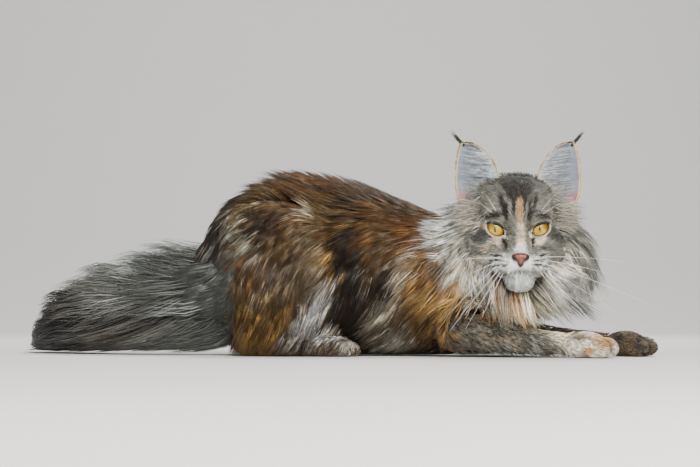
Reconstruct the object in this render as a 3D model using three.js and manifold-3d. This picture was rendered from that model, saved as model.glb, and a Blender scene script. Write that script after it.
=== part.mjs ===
// A tortoiseshell tabby Maine Coon cat, life size, lying on its chest with the forelegs stretched
// out in front, the hind legs folded under the haunches and the plumed tail laid out behind.
// The head is turned square to the viewer, who stands on the cat's right side.
//
// Millimetres, +Z up. +X runs along the body from tail to paws, and the viewer looks along +Y.
// Each body part is one closed solid. A long-haired part is a core with flat, tapered locks
// rooted in it that bend along the lie of the coat. Neighbours keep a small gap.

import * as THREE from "three";
import { mergeVertices } from "three/addons/utils/BufferGeometryUtils.js";
import Module from "manifold-3d";

const wasm = await Module();
wasm.setup();
const { Manifold, Mesh: SolidMesh } = wasm;

// Driving dimensions
const GAP = 0.35; // clearance between neighbouring pieces
const EYE_LINE = [166, -32, 126.5]; // midpoint between the eyes, the origin of the head
const EYE_SPREAD = 22.2; // from the midline to the centre of an eye
const EYE_RADIUS = 11;
const EYE_DEPTH = 10.5; // centre of the eyeball behind the eye line
const LID_THICKNESS = 1.5;
const LID_SLANT = 0.52; // radians that the outer corner of the eye is raised
const APERTURE_WIDTH = 20;
const APERTURE_HEIGHT = 13;
const EAR_WALL = 2.4;
const FAR_EAR_OUT = 4; // the ear away from the body is held further out
const NOSE_WIDTH = 16;
const NOSE_HEIGHT = 10.5;
const LOCK_STEPS = 3; // bends along one lock of hair

const { PI, sin, cos, sqrt, abs, max, min, sign } = Math;
const V = (x, y, z) => new THREE.Vector3(x, y, z);
const mix = (a, b, t) => a + (b - a) * t;

// Seeded random numbers from 0 to 1, so that every build is the same.
function seeded(seed) {
  let state = seed;
  return () => {
    state = (state + 0x6d2b79f5) | 0;
    let t = Math.imul(state ^ (state >>> 15), 1 | state);
    t = (t + Math.imul(t ^ (t >>> 7), 61 | t)) ^ t;
    return ((t ^ (t >>> 14)) >>> 0) / 4294967296;
  };
}

// Solids from geometry and back

function solidOf(geometry) {
  const bare = geometry.clone();
  for (const name of ["normal", "uv"]) bare.deleteAttribute(name);
  const merged = mergeVertices(bare, 1e-3);
  return new Manifold(
    new SolidMesh({
      numProp: 3,
      vertProperties: merged.attributes.position.array,
      triVerts: new Uint32Array(merged.index.array),
    }),
  );
}

function geometryOf(solid) {
  const { numProp, vertProperties, triVerts } = solid.getMesh();
  const positions = new Float32Array((vertProperties.length / numProp) * 3);
  for (let i = 0; i * numProp < vertProperties.length; i++)
    positions.set(vertProperties.subarray(i * numProp, i * numProp + 3), i * 3);
  return new THREE.BufferGeometry()
    .setAttribute("position", new THREE.BufferAttribute(positions, 3))
    .setIndex(new THREE.BufferAttribute(triVerts, 1));
}

const union = (solids) => Manifold.union(solids);

function largest(solid) {
  const pieces = solid.decompose();
  return pieces.reduce((best, piece) => (piece.volume() > best.volume() ? piece : best));
}

// A closed skin through rings of equally many points, each end closed by a fan round its middle.
function ringSkin(rings) {
  const n = rings[0].length;
  const middle = (ring) => ring.reduce((sum, p) => sum.add(p), V(0, 0, 0)).divideScalar(n);
  const points = [...rings.flat(), middle(rings[0]), middle(rings[rings.length - 1])];
  const first = rings.length * n;
  const faces = [];
  for (let i = 0; i < n; i++) {
    const j = (i + 1) % n;
    const end = (rings.length - 1) * n;
    faces.push(first, j, i, first + 1, end + i, end + j);
    for (let k = 0; k + 1 < rings.length; k++) {
      const [a, b, c, d] = [k * n + i, k * n + j, (k + 1) * n + i, (k + 1) * n + j];
      faces.push(a, b, d, a, d, c);
    }
  }
  const flat = points.flatMap((p) => [p.x, p.y, p.z]);
  return new THREE.BufferGeometry()
    .setAttribute("position", new THREE.BufferAttribute(new Float32Array(flat), 3))
    .setIndex(faces);
}

// A limb: an elliptic tube through stations [x, y, z, half width, half height].
class Limb {
  constructor(stations) {
    this.spine = new THREE.CatmullRomCurve3(stations.map(([x, y, z]) => V(x, y, z)), false, "catmullrom");
    this.girth = new THREE.SplineCurve(stations.map((row) => new THREE.Vector2(row[3], row[4])));
    this.length = this.spine.getLength();
  }

  // The axis, its sideways and upward directions and the half sizes at s, from 0 to 1 and beyond.
  frame(s) {
    const inside = min(max(s, 0), 1);
    const along = this.spine.getTangent(inside);
    const at = this.spine.getPoint(inside).addScaledVector(along, (s - inside) * this.length);
    const side = V(0, 0, 1).cross(along).normalize();
    const lift = along.clone().cross(side).normalize();
    const size = this.girth.getPoint(inside);
    return { at, along, side, lift, width: size.x, height: size.y };
  }

  point(s, angle, out) {
    const { at, side, lift, width, height } = this.frame(s);
    return at
      .addScaledVector(side, max(width + out, 0.5) * cos(angle))
      .addScaledVector(lift, max(height + out, 0.5) * sin(angle));
  }

  // The direction round the limb at s and angle, in which a lock is broad.
  round(s, angle) {
    const { side, lift, width, height } = this.frame(s);
    return side
      .multiplyScalar(-sin(angle) * width)
      .addScaledVector(lift, cos(angle) * height)
      .normalize();
  }

  // Whether a point lies inside, with the half sizes enlarged by out.
  holds(point, out) {
    for (let k = 0; k <= 30; k++) {
      const { at, along, side, lift, width, height } = this.frame(k / 30);
      const away = point.clone().sub(at);
      if (abs(away.dot(along)) > this.length / 30) continue;
      if ((away.dot(side) / (width + out)) ** 2 + (away.dot(lift) / (height + out)) ** 2 < 1) return true;
    }
    return false;
  }

  solid(rings, sides, out, from = 0, to = 1) {
    const made = [];
    for (let k = 0; k < rings; k++) {
      const s = mix(from, to, k / (rings - 1));
      made.push(Array.from({ length: sides }, (_, i) => this.point(s, (2 * PI * i) / sides, out)));
    }
    return solidOf(ringSkin(made));
  }
}

// One lock: a flat, tapered, bent spike along a path, each section a diamond that is broad along
// the direction that `breadth` gives.
function lock(path, breadth, width, thickness, grow) {
  const rings = [];
  for (let k = 0; k < LOCK_STEPS; k++) {
    const t = k / LOCK_STEPS;
    const at = path(t);
    const along = path(t + 0.02).sub(path(t - 0.02)).normalize();
    const broad = breadth(t);
    const across = broad.addScaledVector(along, -broad.dot(along)).normalize();
    const out = across.clone().cross(along).normalize();
    const taper = mix(0.8, 1, min(t * 3, 1)) * (1 - 0.75 * max(t - 0.35, 0) ** 1.2 / 0.65 ** 1.2);
    const wide = (width / 2) * taper + grow;
    const thick = (thickness / 2) * mix(1, 0.6, t) + grow;
    rings.push([
      at.clone().addScaledVector(across, wide),
      at.clone().addScaledVector(out, -thick),
      at.clone().addScaledVector(across, -wide),
      at.clone().addScaledVector(out, thick),
    ]);
  }
  const end = path(1);
  const lastRun = end.clone().sub(path((LOCK_STEPS - 1) / LOCK_STEPS)).normalize();
  const tip = end.addScaledVector(lastRun, 3 * grow);
  const points = rings.flat();
  points.push(tip);
  const faces = [0, 2, 1, 0, 3, 2];
  const last = (LOCK_STEPS - 1) * 4;
  for (let i = 0; i < 4; i++) {
    const j = (i + 1) % 4;
    faces.push(last + i, last + j, points.length - 1);
    for (let k = 0; k + 1 < LOCK_STEPS; k++) {
      const [a, b, c, d] = [k * 4 + i, k * 4 + j, k * 4 + 4 + i, k * 4 + 4 + j];
      faces.push(a, b, d, a, d, c);
    }
  }
  const flat = points.flatMap((p) => [p.x, p.y, p.z]);
  return solidOf(
    new THREE.BufferGeometry()
      .setAttribute("position", new THREE.BufferAttribute(new Float32Array(flat), 3))
      .setIndex(faces),
  );
}

// Locks over a limb, in staggered tiers. Each tier is at s, and its locks spread from angle a to b.
// lie(s, angle) gives along (mm towards s = 1), swirl (radians), rise and droop (mm).
// A lock that would run into one of the solids in `beside` is left out.
function coat(limb, { seed, tiers, width, thickness, core, sink, lie, beside = [] }, grow) {
  const random = seeded(seed);
  const locks = [];
  tiers.forEach(([s0, from, to, count], tier) => {
    for (let i = 0; i < count; i++) {
      const stagger = (tier % 2) * 0.5 + 0.25 + 0.3 * (random() - 0.5);
      const angle = mix(from, to, (i + stagger) / count);
      const s = s0 + 0.012 * (random() - 0.5);
      const way = lie(s, angle);
      const scale = mix(0.88, 1.14, random());
      const turn = way.swirl + 0.12 * (random() - 0.5);
      const wide = width * mix(0.85, 1.15, random());
      const path = (t) => {
        const step = (scale * way.along * t) / limb.length;
        const out = mix(core - sink, core + way.rise * scale, 1 - (1 - t) ** 1.5);
        const p = limb.point(s + step, angle + turn * t, out);
        p.z = max(p.z - way.droop * scale * t * t, 1.6 + 0.8 * (1 - t));
        return p;
      };
      const blocked = beside.some(([other, out]) => [0.35, 0.7, 1].some((t) => other.holds(path(t), out)));
      if (!blocked) locks.push(lock(path, (t) => limb.round(s, angle + turn * t), wide, thickness, grow));
    }
  });
  return locks;
}

const onFloor = (solid) => solid.trimByPlane([0, 0, 1], 0);

// Head

const fromEyes = (x, y, z) => V(x, y, z).add(V(...EYE_LINE));

// Rounded masses of the head, from the eye line: centre x, y, z and radii x, y, z.
const HEAD_MASSES = [
  { name: "cranium", at: [0, 40, 12], size: [44, 46, 46] },
  { name: "occiput", at: [0, 60, 0], size: [36, 34, 36] },
  { name: "crown", at: [20, 33, 33], size: [19, 24, 20], pair: true },
  { name: "forehead", at: [0, 19, 18], size: [31, 24, 32] },
  { name: "brow", at: [19, 11, 15], size: [15, 12, 9], pair: true },
  { name: "bridge", at: [0, 2, -6], size: [11.5, 15, 16] },
  { name: "snout", at: [0, -11, -17], size: [12.5, 19, 12] },
  { name: "cheek", at: [26, 24, -17], size: [25, 31, 25], pair: true },
  { name: "muzzle", at: [0, -5, -34], size: [24, 22, 17] },
  { name: "jaw", at: [0, 10, -40], size: [21, 28, 16] },
];
const HEAD_BLEND = 11;
const HEAD_CENTRE = [0, 24, -6];
const SOCKET = { at: [23, -7, -1], size: [11, 9, 8] };

function ellipsoidDistance(p, at, size) {
  const [x, y, z] = [p.x - at[0], p.y - at[1], p.z - at[2]];
  const [a, b, c] = size;
  const near = sqrt((x / a) ** 2 + (y / b) ** 2 + (z / c) ** 2);
  const slope = sqrt((x / a ** 2) ** 2 + (y / b ** 2) ** 2 + (z / c ** 2) ** 2);
  return (near * (near - 1)) / max(slope, 1e-6);
}

function smoothMin(a, b, k) {
  const h = max(k - abs(a - b), 0) / k;
  return min(a, b) - (h * h * k) / 4;
}

// Distance from the surface of the head, with p from the eye line and x taken to the right half.
function headDistance(p) {
  const half = V(abs(p.x), p.y, p.z);
  let d = Infinity;
  for (const { at, size } of HEAD_MASSES) {
    const here = ellipsoidDistance(half, at, size);
    d = d === Infinity ? here : smoothMin(d, here, HEAD_BLEND);
  }
  const socket = ellipsoidDistance(half, SOCKET.at, SOCKET.size);
  return -smoothMin(-d, socket, 6);
}

// The surface where rays from a middle point leave the shape, in rings round the -Y axis.
function starSkin(distance, middle, rings, sides, reach, grow) {
  const made = [];
  for (let k = 0; k < rings; k++) {
    const polar = PI * mix(0.025, 0.985, k / (rings - 1)) ** 1.12;
    const ring = [];
    for (let i = 0; i < sides; i++) {
      const round = (2 * PI * i) / sides + PI / 2;
      const way = V(sin(polar) * cos(round), -cos(polar), sin(polar) * sin(round));
      let r = reach;
      for (let step = 0; step < 80; step++) r -= 0.6 * distance(V(...middle).addScaledVector(way, r));
      ring.push(fromEyes(...middle).addScaledVector(way, r + grow));
    }
    made.push(ring);
  }
  return solidOf(ringSkin(made.reverse()));
}

function ball(centre, size, wide, high, grow, turn = 0) {
  const geometry = new THREE.SphereGeometry(1, wide, high);
  geometry.rotateX(PI / 2);
  geometry.scale(size[0] + grow, size[1] + grow, size[2] + grow);
  geometry.rotateY(turn);
  geometry.translate(centre.x, centre.y, centre.z);
  return solidOf(geometry);
}

const eyeCentre = (which) => fromEyes(which * EYE_SPREAD, EYE_DEPTH, 0);

function eyeball(which, grow) {
  const geometry = new THREE.IcosahedronGeometry(EYE_RADIUS + grow, 2);
  geometry.translate(...eyeCentre(which).toArray());
  return solidOf(geometry);
}

// The almond between the lids, run through from the front into the eyeball.
function aperture(which) {
  const outline = new THREE.Shape();
  const [w, h] = [(which * APERTURE_WIDTH) / 2, APERTURE_HEIGHT];
  outline.moveTo(-w, 0);
  outline.bezierCurveTo(-w * 0.5, h * 0.42, w * 0.3, h * 0.52, w, h * 0.12);
  outline.bezierCurveTo(w * 0.9, -h * 0.55, -w * 0.5, -h * 0.85, -w, 0);
  const geometry = new THREE.ExtrudeGeometry(outline, { depth: 20, bevelEnabled: false, curveSegments: 7 });
  geometry.rotateX(PI / 2);
  geometry.rotateY(-which * LID_SLANT);
  const centre = eyeCentre(which);
  geometry.translate(centre.x, centre.y - 4, centre.z);
  return solidOf(geometry);
}

// The nose leather: a rounded wedge, wide above and pointed below.
function noseLeather(grow) {
  const [w, h] = [NOSE_WIDTH / 2 + grow, NOSE_HEIGHT + grow];
  const outline = new THREE.Shape();
  outline.moveTo(-w, 0);
  outline.quadraticCurveTo(0, 3 + grow, w, 0);
  outline.quadraticCurveTo(w * 0.8, -h * 0.5, 1.2, -h);
  outline.lineTo(-1.2, -h);
  outline.quadraticCurveTo(-w * 0.8, -h * 0.5, -w, 0);
  const depth = 9 + 2 * grow;
  const geometry = new THREE.ExtrudeGeometry(outline, {
    depth,
    curveSegments: 4,
    bevelEnabled: true,
    bevelThickness: 1.6,
    bevelSize: 1.4,
    bevelOffset: -1.4,
    bevelSegments: 1,
  });
  geometry.rotateX(PI / 2);
  geometry.rotateX(0.28);
  geometry.translate(...fromEyes(0, -22 + grow, -27).toArray());
  return solidOf(geometry);
}

function tube(points, radius, sides = 6, steps = 10) {
  const extrudePath = new THREE.CatmullRomCurve3(points);
  const outline = new THREE.Shape().absarc(0, 0, radius, 0, 2 * PI);
  const options = { steps, curveSegments: sides, extrudePath, bevelEnabled: false };
  return solidOf(new THREE.ExtrudeGeometry(outline, options));
}

function buildHead(grow) {
  const skull = starSkin(headDistance, HEAD_CENTRE, 16, 26, 100, grow);
  const parts = [skull];
  for (const which of [-1, 1]) {
    parts.push(ball(fromEyes(which * 11.5, -17, -37), [15.5, 14, 11.5], 10, 7, grow, -which * 0.25));
    parts.push(ball(eyeCentre(which), Array(3).fill(EYE_RADIUS + LID_THICKNESS + GAP), 12, 9, grow));
  }
  parts.push(ball(fromEyes(0, -12, -50), [14.5, 13, 10], 10, 7, grow));
  let head = union(parts);
  if (grow) return head;
  const mouth = [V(-21, -14, -46), V(-13, -24, -47), V(-5, -30, -44.5), V(0, -30.5, -42), V(5, -30, -44.5)];
  mouth.push(V(13, -24, -47), V(21, -14, -46));
  const cuts = [
    tube(mouth.map((p) => p.add(V(...EYE_LINE))), 1.1, 4, 12),
    tube([fromEyes(0, -31, -36), fromEyes(0, -31, -43)], 0.9, 6, 2),
    noseLeather(GAP),
  ];
  for (const which of [-1, 1]) cuts.push(eyeball(which, GAP), aperture(which));
  return largest(head.subtract(union(cuts)));
}

function buildNose() {
  const nostrils = [-1, 1].map((which) =>
    ball(fromEyes(which * 4.6, -34, -30.5), [1.9, 4.5, 1.2], 6, 4, 0, which * 0.5),
  );
  return largest(noseLeather(0).subtract(union(nostrils)));
}

// An ear: a cupped vane open to the front. v runs up from the root to the rounded tip.
const EAR_ROWS = [16, 28, 40, 52, 63, 73, 80.5, 85.5, 87.8];
const EAR_COLUMNS = 6;

// Inner and outer edge of an ear at height z: the inner one is an arch, the outer one nearly upright.
function earEdges(z) {
  const outer = 60 - 0.0045 * (z - 52) ** 2 - 0.028 * max(38 - z, 0) ** 2;
  const climb = min(max(z - 42, 0) / 46, 1);
  const inner = 17.5 + 36 * (1 - sqrt(1 - climb ** 2)) + 0.02 * max(40 - z, 0) ** 1.5;
  return [inner, outer];
}

function buildEar(which, grow) {
  const shift = which > 0 ? FAR_EAR_OUT : 0;
  const front = [];
  const back = [];
  for (const z of EAR_ROWS) {
    const [inner, outer] = earEdges(z);
    const depth = 3 + 22 * min(1, (90 - z) / 60);
    for (let i = 0; i <= EAR_COLUMNS; i++) {
      const u = (2 * i) / EAR_COLUMNS - 1;
      const x = which * (mix(inner, outer, i / EAR_COLUMNS) + grow * u) + shift;
      const y = 23 + 0.06 * z + depth * (1 - u * u);
      front.push(fromEyes(x, y - grow * (1 + 4 * u * u), z + grow * (z > 80 ? 1 : 0)));
      back.push(fromEyes(x, y + EAR_WALL + grow, z + grow * (z > 80 ? 1 : 0)));
    }
  }
  const across = EAR_COLUMNS + 1;
  const rows = EAR_ROWS.length;
  const faces = [];
  const quad = (a, b, c, d) => (which > 0 ? faces.push(a, b, c, a, c, d) : faces.push(a, c, b, a, d, c));
  const count = front.length;
  for (let k = 0; k + 1 < rows; k++)
    for (let i = 0; i < EAR_COLUMNS; i++) {
      const [a, b] = [k * across + i, k * across + i + 1];
      quad(a, b, b + across, a + across);
      quad(count + b, count + a, count + a + across, count + b + across);
    }
  for (let k = 0; k + 1 < rows; k++) {
    const [a, b] = [k * across, k * across + EAR_COLUMNS];
    quad(a, a + across, count + a + across, count + a);
    quad(b + across, b, count + b, count + b + across);
  }
  for (let i = 0; i < EAR_COLUMNS; i++) {
    const top = (rows - 1) * across + i;
    quad(i + 1, i, count + i, count + i + 1);
    quad(top, top + 1, count + top + 1, count + top);
  }
  const flat = [...front, ...back].flatMap((p) => [p.x, p.y, p.z]);
  const vane = solidOf(
    new THREE.BufferGeometry()
      .setAttribute("position", new THREE.BufferAttribute(new Float32Array(flat), 3))
      .setIndex(faces),
  );
  const root = fromEyes(which * 50 + shift, 29.8, 79);
  const reach = V(which * 13, 0, 23);
  const path = (t) => root.clone().addScaledVector(reach, t).add(V(which * 2.5 * t * t, 0, -1.5 * t * t));
  return union([vane, lock(path, () => V(0.87, 0, -0.5), 5.5, 2.6, grow)]);
}

// Trunk, neck, legs and tail, as limbs

const torso = new Limb([
  [-156, 124, 84, 14, 20],
  [-143, 121, 86, 42, 52],
  [-108, 113, 88, 66, 76],
  [-55, 100, 88, 73, 80],
  [5, 86, 82, 74, 76],
  [62, 72, 74, 70, 68],
  [112, 58, 70, 60, 62],
  [150, 48, 66, 48, 52],
  [176, 42, 60, 30, 36],
  [186, 40, 58, 14, 18],
]);
const neck = new Limb([
  [118, 88, 92, 22, 24],
  [130, 74, 98, 42, 42],
  [147, 50, 104, 54, 50],
  [160, 28, 106, 57, 51],
  [166, 9, 105, 54, 49],
  [168, -5, 104, 44, 42],
  [169, -15, 103, 26, 26],
]);

// The limbs of the two sides are alike, mirrored across the body's slanted axis.
const AXIS = { y: 106, slope: -0.26 };
const mirrored = (stations, side) =>
  stations.map(([x, y, ...rest]) => [x, side < 0 ? y : 2 * (AXIS.y + AXIS.slope * (x + 75)) - y, ...rest]);
const thigh = (side) =>
  new Limb(
    mirrored(
      [
        [-146, 62, 78, 8, 22],
        [-126, 57, 82, 26, 56],
        [-88, 51, 86, 34, 72],
        [-46, 44, 76, 33, 66],
        [-14, 38, 60, 26, 48],
        [2, 35, 48, 10, 18],
      ],
      side,
    ),
  );
const hindFoot = (side) =>
  new Limb(
    mirrored(
      [
        [-128, 38, 20, 8, 10],
        [-116, 37, 18, 14, 15],
        [-86, 33, 14, 15, 13],
        [-52, 27, 12, 14, 11],
        [-28, 22, 11, 13, 10],
        [-18, 20, 10, 8, 6],
      ],
      side,
    ),
  );
const foreleg = (side) =>
  new Limb(
    side < 0
      ? [
          [92, 8, 30, 12, 14],
          [104, 2, 27, 20, 22],
          [136, -14, 21, 19, 19],
          [175, -33, 15, 16, 15],
          [208, -46, 13, 14.5, 13],
          [222, -51, 12, 9, 8],
        ]
      : [
          [124, 90, 30, 12, 14],
          [136, 84, 27, 20, 22],
          [170, 66, 21, 19, 19],
          [214, 44, 15, 16, 15],
          [252, 28, 13, 14.5, 13],
          [268, 22, 12, 9, 8],
        ],
  );
const tail = new Limb([
  [-128, 121, 74, 12, 14],
  [-172, 128, 58, 27, 28],
  [-222, 145, 48, 28, 28],
  [-268, 172, 37, 25, 25],
  [-303, 206, 28, 18, 18],
  [-322, 238, 20, 8, 9],
]);

// A paw: a pad with four toes spread in a fan, flat on the floor. Heading is the way it points.
function paw(at, heading, size, grow) {
  const ahead = V(cos(heading), sin(heading), 0);
  const beside = V(-sin(heading), cos(heading), 0);
  const place = (forward, side, up) =>
    V(at[0], at[1], 0)
      .addScaledVector(ahead, forward * size)
      .addScaledVector(beside, side * size)
      .add(V(0, 0, up * size));
  const blob = (forward, side, up, radii, turn, wide = 6, high = 5) => {
    const geometry = new THREE.SphereGeometry(1, wide, high);
    geometry.rotateX(PI / 2);
    geometry.scale(...radii.map((r) => r * size + grow));
    geometry.rotateZ(heading + turn);
    geometry.translate(...place(forward, side, up).toArray());
    return solidOf(geometry);
  };
  const parts = [blob(2, 0, 12.5, [21, 18.5, 14], 0, 9, 6)];
  for (const side of [-1.5, -0.5, 0.5, 1.5]) {
    const outer = abs(side) > 1;
    parts.push(blob(outer ? 15 : 20.5, side * 9.2, 10.5, [13.5, 6.2, 10.8], -side * 0.1));
  }
  return union(parts);
}

// Lie of the coat. On the near half of a limb, whose axis runs along +X, the angle grows downwards.
const downwards = (angle) => -sign(cos(angle)) * abs(cos(angle));

const trunkCoat = {
  seed: 11,
  width: 30,
  thickness: 6,
  core: 8,
  sink: 7,
  tiers: [
    [0.13, 0.1 * PI, 0.9 * PI, 5],
    [0.27, 0.12 * PI, 0.88 * PI, 6],
    [0.4, -0.05 * PI, 1.05 * PI, 8],
    [0.53, -0.18 * PI, 1.18 * PI, 9],
    [0.66, -0.2 * PI, 1.2 * PI, 9],
    [0.78, -0.25 * PI, 1.25 * PI, 9],
    [0.89, -0.35 * PI, 1.35 * PI, 10],
  ],
  lie: (s, angle) => ({
    along: -62,
    swirl: (0.35 + 0.4 * s) * downwards(angle),
    rise: 7 + 8 * s,
    droop: 4,
  }),
  beside: [
    [neck, -4],
    ...[-1, 1].flatMap((side) => [
      [thigh(side), 2],
      [foreleg(side), -2],
      [hindFoot(side), -2],
    ]),
  ],
};
const neckCoat = {
  seed: 23,
  width: 25,
  thickness: 5,
  core: 5,
  sink: 8,
  tiers: [
    [0.42, 0.1 * PI, 0.9 * PI, 6],
    [0.62, -0.6 * PI, 1.4 * PI, 13],
    [0.77, -0.6 * PI, 1.4 * PI, 14],
    [0.88, -0.95 * PI, -0.05 * PI, 8],
  ],
  lie: (s, angle) => {
    const low = max(-sin(angle), 0);
    const high = max(sin(angle), 0);
    const bodySide = max(-cos(angle), 0);
    return {
      along: mix(-26, 2, low) - 10 * high,
      swirl: 0.2 * downwards(angle),
      rise: 36 + 8 * bodySide - 16 * high - 10 * low,
      droop: 12 - 7 * low,
    };
  },
  beside: [
    [torso, -6],
    [foreleg(-1), 0],
    [foreleg(1), 0],
  ],
};
const thighCoat = (side) => ({
  seed: 37 + side,
  width: 28,
  thickness: 6,
  core: 4,
  sink: 7,
  tiers: [
    [0.16, 0.66 * PI, 1.4 * PI, 5],
    [0.38, 0.64 * PI, 1.38 * PI, 6],
    [0.6, 0.62 * PI, 1.36 * PI, 5],
    [0.82, 0.66 * PI, 1.3 * PI, 4],
  ].map(([s, a, b, n]) => (side < 0 ? [s, a, b, n] : [s, PI - a, PI - b, n])),
  lie: (s, angle) => ({ along: -46, swirl: 0.55 * downwards(angle), rise: 11, droop: 12 }),
  beside: [[hindFoot(side), -4]],
});
const tailCoat = (seed, tiers) => ({
  seed,
  width: 27,
  thickness: 6,
  core: 0,
  sink: 7,
  tiers,
  lie: (s, angle) => ({ along: 62, swirl: 0, rise: 28 + 8 * max(sin(angle), 0), droop: 5 }),
});

function dressed(limb, { rings, sides, from, to }, plan, grow) {
  const core = limb.solid(rings, sides, plan.core + grow, from, to);
  return onFloor(union([core, ...coat(limb, plan, grow)]));
}

const around = 2 * PI;
const TAIL_PARTS = [
  { name: "tail_root", from: 0, to: 0.34, tiers: [[0.1, 0, around, 7], [0.25, 0, around, 7]] },
  { name: "tail_middle", from: 0.345, to: 0.68, tiers: [[0.42, 0, around, 7], [0.59, 0, around, 7]] },
  { name: "tail_tip", from: 0.685, to: 1, tiers: [[0.76, 0, around, 6], [0.92, 0, around, 5]] },
];

// The pieces, foremost first. Each is cut clear of all that come before it.
const FUR = { grey: 0x7d7a70, orange: 0x9a5a2c, brown: 0x5b4634, silver: 0xa9a79c, cream: 0xd9c2a0 };
const PIECES = [
  { name: "eye_right", at: eyeCentre(-1), colour: 0xd9a018, rough: 0.15, build: (g) => eyeball(-1, g) },
  { name: "eye_left", at: eyeCentre(1), colour: 0xd9a018, rough: 0.15, build: (g) => eyeball(1, g) },
  {
    name: "nose",
    at: fromEyes(0, -30, -30),
    colour: 0xb4605c,
    rough: 0.5,
    build: (g) => (g ? noseLeather(g) : buildNose()),
  },
  { name: "head", at: fromEyes(0, 0, 0), colour: FUR.grey, build: buildHead },
  { name: "ear_right", at: fromEyes(-40, 30, 35), colour: FUR.silver, build: (g) => buildEar(-1, g) },
  { name: "ear_left", at: fromEyes(40, 30, 35), colour: FUR.silver, build: (g) => buildEar(1, g) },
  {
    name: "neck",
    at: V(150, 47, 105),
    colour: FUR.silver,
    build: (g) => dressed(neck, { rings: 8, sides: 18 }, neckCoat, g),
  },
];
for (const side of [-1, 1]) {
  const word = side < 0 ? "right" : "left";
  const frontTip = side < 0 ? [228, -53] : [276, 18];
  const hindTip = hindFoot(side).point(0.94, 0, -14);
  PIECES.push(
    {
      name: `front_paw_${word}`,
      at: V(...frontTip, 12),
      colour: side < 0 ? FUR.cream : FUR.brown,
      build: (g) => onFloor(paw(frontTip, side < 0 ? -0.32 : -0.36, 1, g)),
    },
    {
      name: `foreleg_${word}`,
      at: foreleg(side).point(0.4, 0, -20),
      colour: FUR.grey,
      build: (g) => onFloor(foreleg(side).solid(8, 12, 2 + g)),
    },
    {
      name: `hind_paw_${word}`,
      at: hindTip,
      colour: FUR.brown,
      build: (g) => onFloor(paw([hindTip.x, hindTip.y], side < 0 ? -0.18 : -0.32, 0.95, g)),
    },
    {
      name: `hind_foot_${word}`,
      at: hindFoot(side).point(0.4, 0, -16),
      colour: FUR.brown,
      build: (g) => onFloor(hindFoot(side).solid(7, 10, 2 + g)),
    },
    {
      name: `thigh_${word}`,
      at: thigh(side).point(0.4, 0, -30),
      colour: FUR.brown,
      build: (g) => dressed(thigh(side), { rings: 7, sides: 14 }, thighCoat(side), g),
    },
  );
}
for (const [i, { name, from, to, tiers }] of TAIL_PARTS.entries())
  PIECES.push({
    name,
    at: tail.point((from + to) / 2, 0, -30),
    colour: FUR.grey,
    build: (g) => dressed(tail, { rings: 4, sides: 12, from, to }, tailCoat(51 + i, tiers), g),
  });
PIECES.push({
  name: "torso",
  at: V(0, 84, 82),
  colour: FUR.orange,
  build: (g) => dressed(torso, { rings: 11, sides: 18 }, trunkCoat, g),
});

function boxesMeet(a, b) {
  const [p, q] = [a.boundingBox(), b.boundingBox()];
  return [0, 1, 2].every((i) => p.min[i] < q.max[i] && q.min[i] < p.max[i]);
}

const cat = new THREE.Group();
const clearances = [];
for (const { name, at, colour, rough = 0.85, build } of PIECES) {
  let solid = build(0);
  const near = clearances.filter((other) => boxesMeet(solid, other));
  if (near.length) solid = solid.subtract(union(near));
  solid = largest(solid);
  clearances.push(build(GAP));
  const geometry = geometryOf(solid.translate([-at.x, -at.y, -at.z]));
  const mesh = new THREE.Mesh(
    geometry,
    new THREE.MeshStandardMaterial({ color: colour, roughness: rough, metalness: 0 }),
  );
  mesh.name = name;
  mesh.position.copy(at);
  cat.add(mesh);
}

// The origin is the middle of the footprint, at floor level.
const box = new THREE.Box3().setFromObject(cat);
cat.position.set(-(box.min.x + box.max.x) / 2, -(box.min.y + box.max.y) / 2, -box.min.z);
const model = new THREE.Group();
model.add(cat);

export default model;
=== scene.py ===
# A life-size Maine Coon cat, a tortoiseshell tabby, lying on its chest with the head turned to the
# viewer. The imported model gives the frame. Here one skin takes the place of its flesh, with a coat
# of solid tufts over it, and the eyes, nose leather and whiskers are finished by themselves.
# Shapes are worked out in the design's own millimetres and go to Blender's metres in `to_world`.

import math

import bpy
import numpy as np
from bpy.props import FloatProperty, FloatVectorProperty, PointerProperty
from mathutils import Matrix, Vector
from mathutils.bvhtree import BVHTree
from mathutils.kdtree import KDTree


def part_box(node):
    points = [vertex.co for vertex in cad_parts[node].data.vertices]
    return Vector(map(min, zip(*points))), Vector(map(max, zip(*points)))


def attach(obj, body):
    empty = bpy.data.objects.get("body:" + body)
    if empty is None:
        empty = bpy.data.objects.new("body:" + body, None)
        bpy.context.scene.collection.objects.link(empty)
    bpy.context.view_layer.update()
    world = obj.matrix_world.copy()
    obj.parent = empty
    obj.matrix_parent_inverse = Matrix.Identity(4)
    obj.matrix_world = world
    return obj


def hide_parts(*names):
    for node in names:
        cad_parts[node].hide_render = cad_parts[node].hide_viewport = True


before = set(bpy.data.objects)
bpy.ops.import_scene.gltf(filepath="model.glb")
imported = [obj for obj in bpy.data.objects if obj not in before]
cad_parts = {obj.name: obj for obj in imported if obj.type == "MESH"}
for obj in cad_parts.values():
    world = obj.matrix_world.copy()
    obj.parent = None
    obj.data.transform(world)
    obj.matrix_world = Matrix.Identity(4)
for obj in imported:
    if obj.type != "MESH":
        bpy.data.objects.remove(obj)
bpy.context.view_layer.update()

bl_info = {
    "name": "Lying Maine Coon",
    "version": (1, 0, 0),
    "blender": (4, 5, 0),
    "location": "View3D > Sidebar > Cat",
    "description": "Skin, coat, eyes and stage of a lying tortoiseshell Maine Coon",
    "category": "Add Mesh",
}

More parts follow.
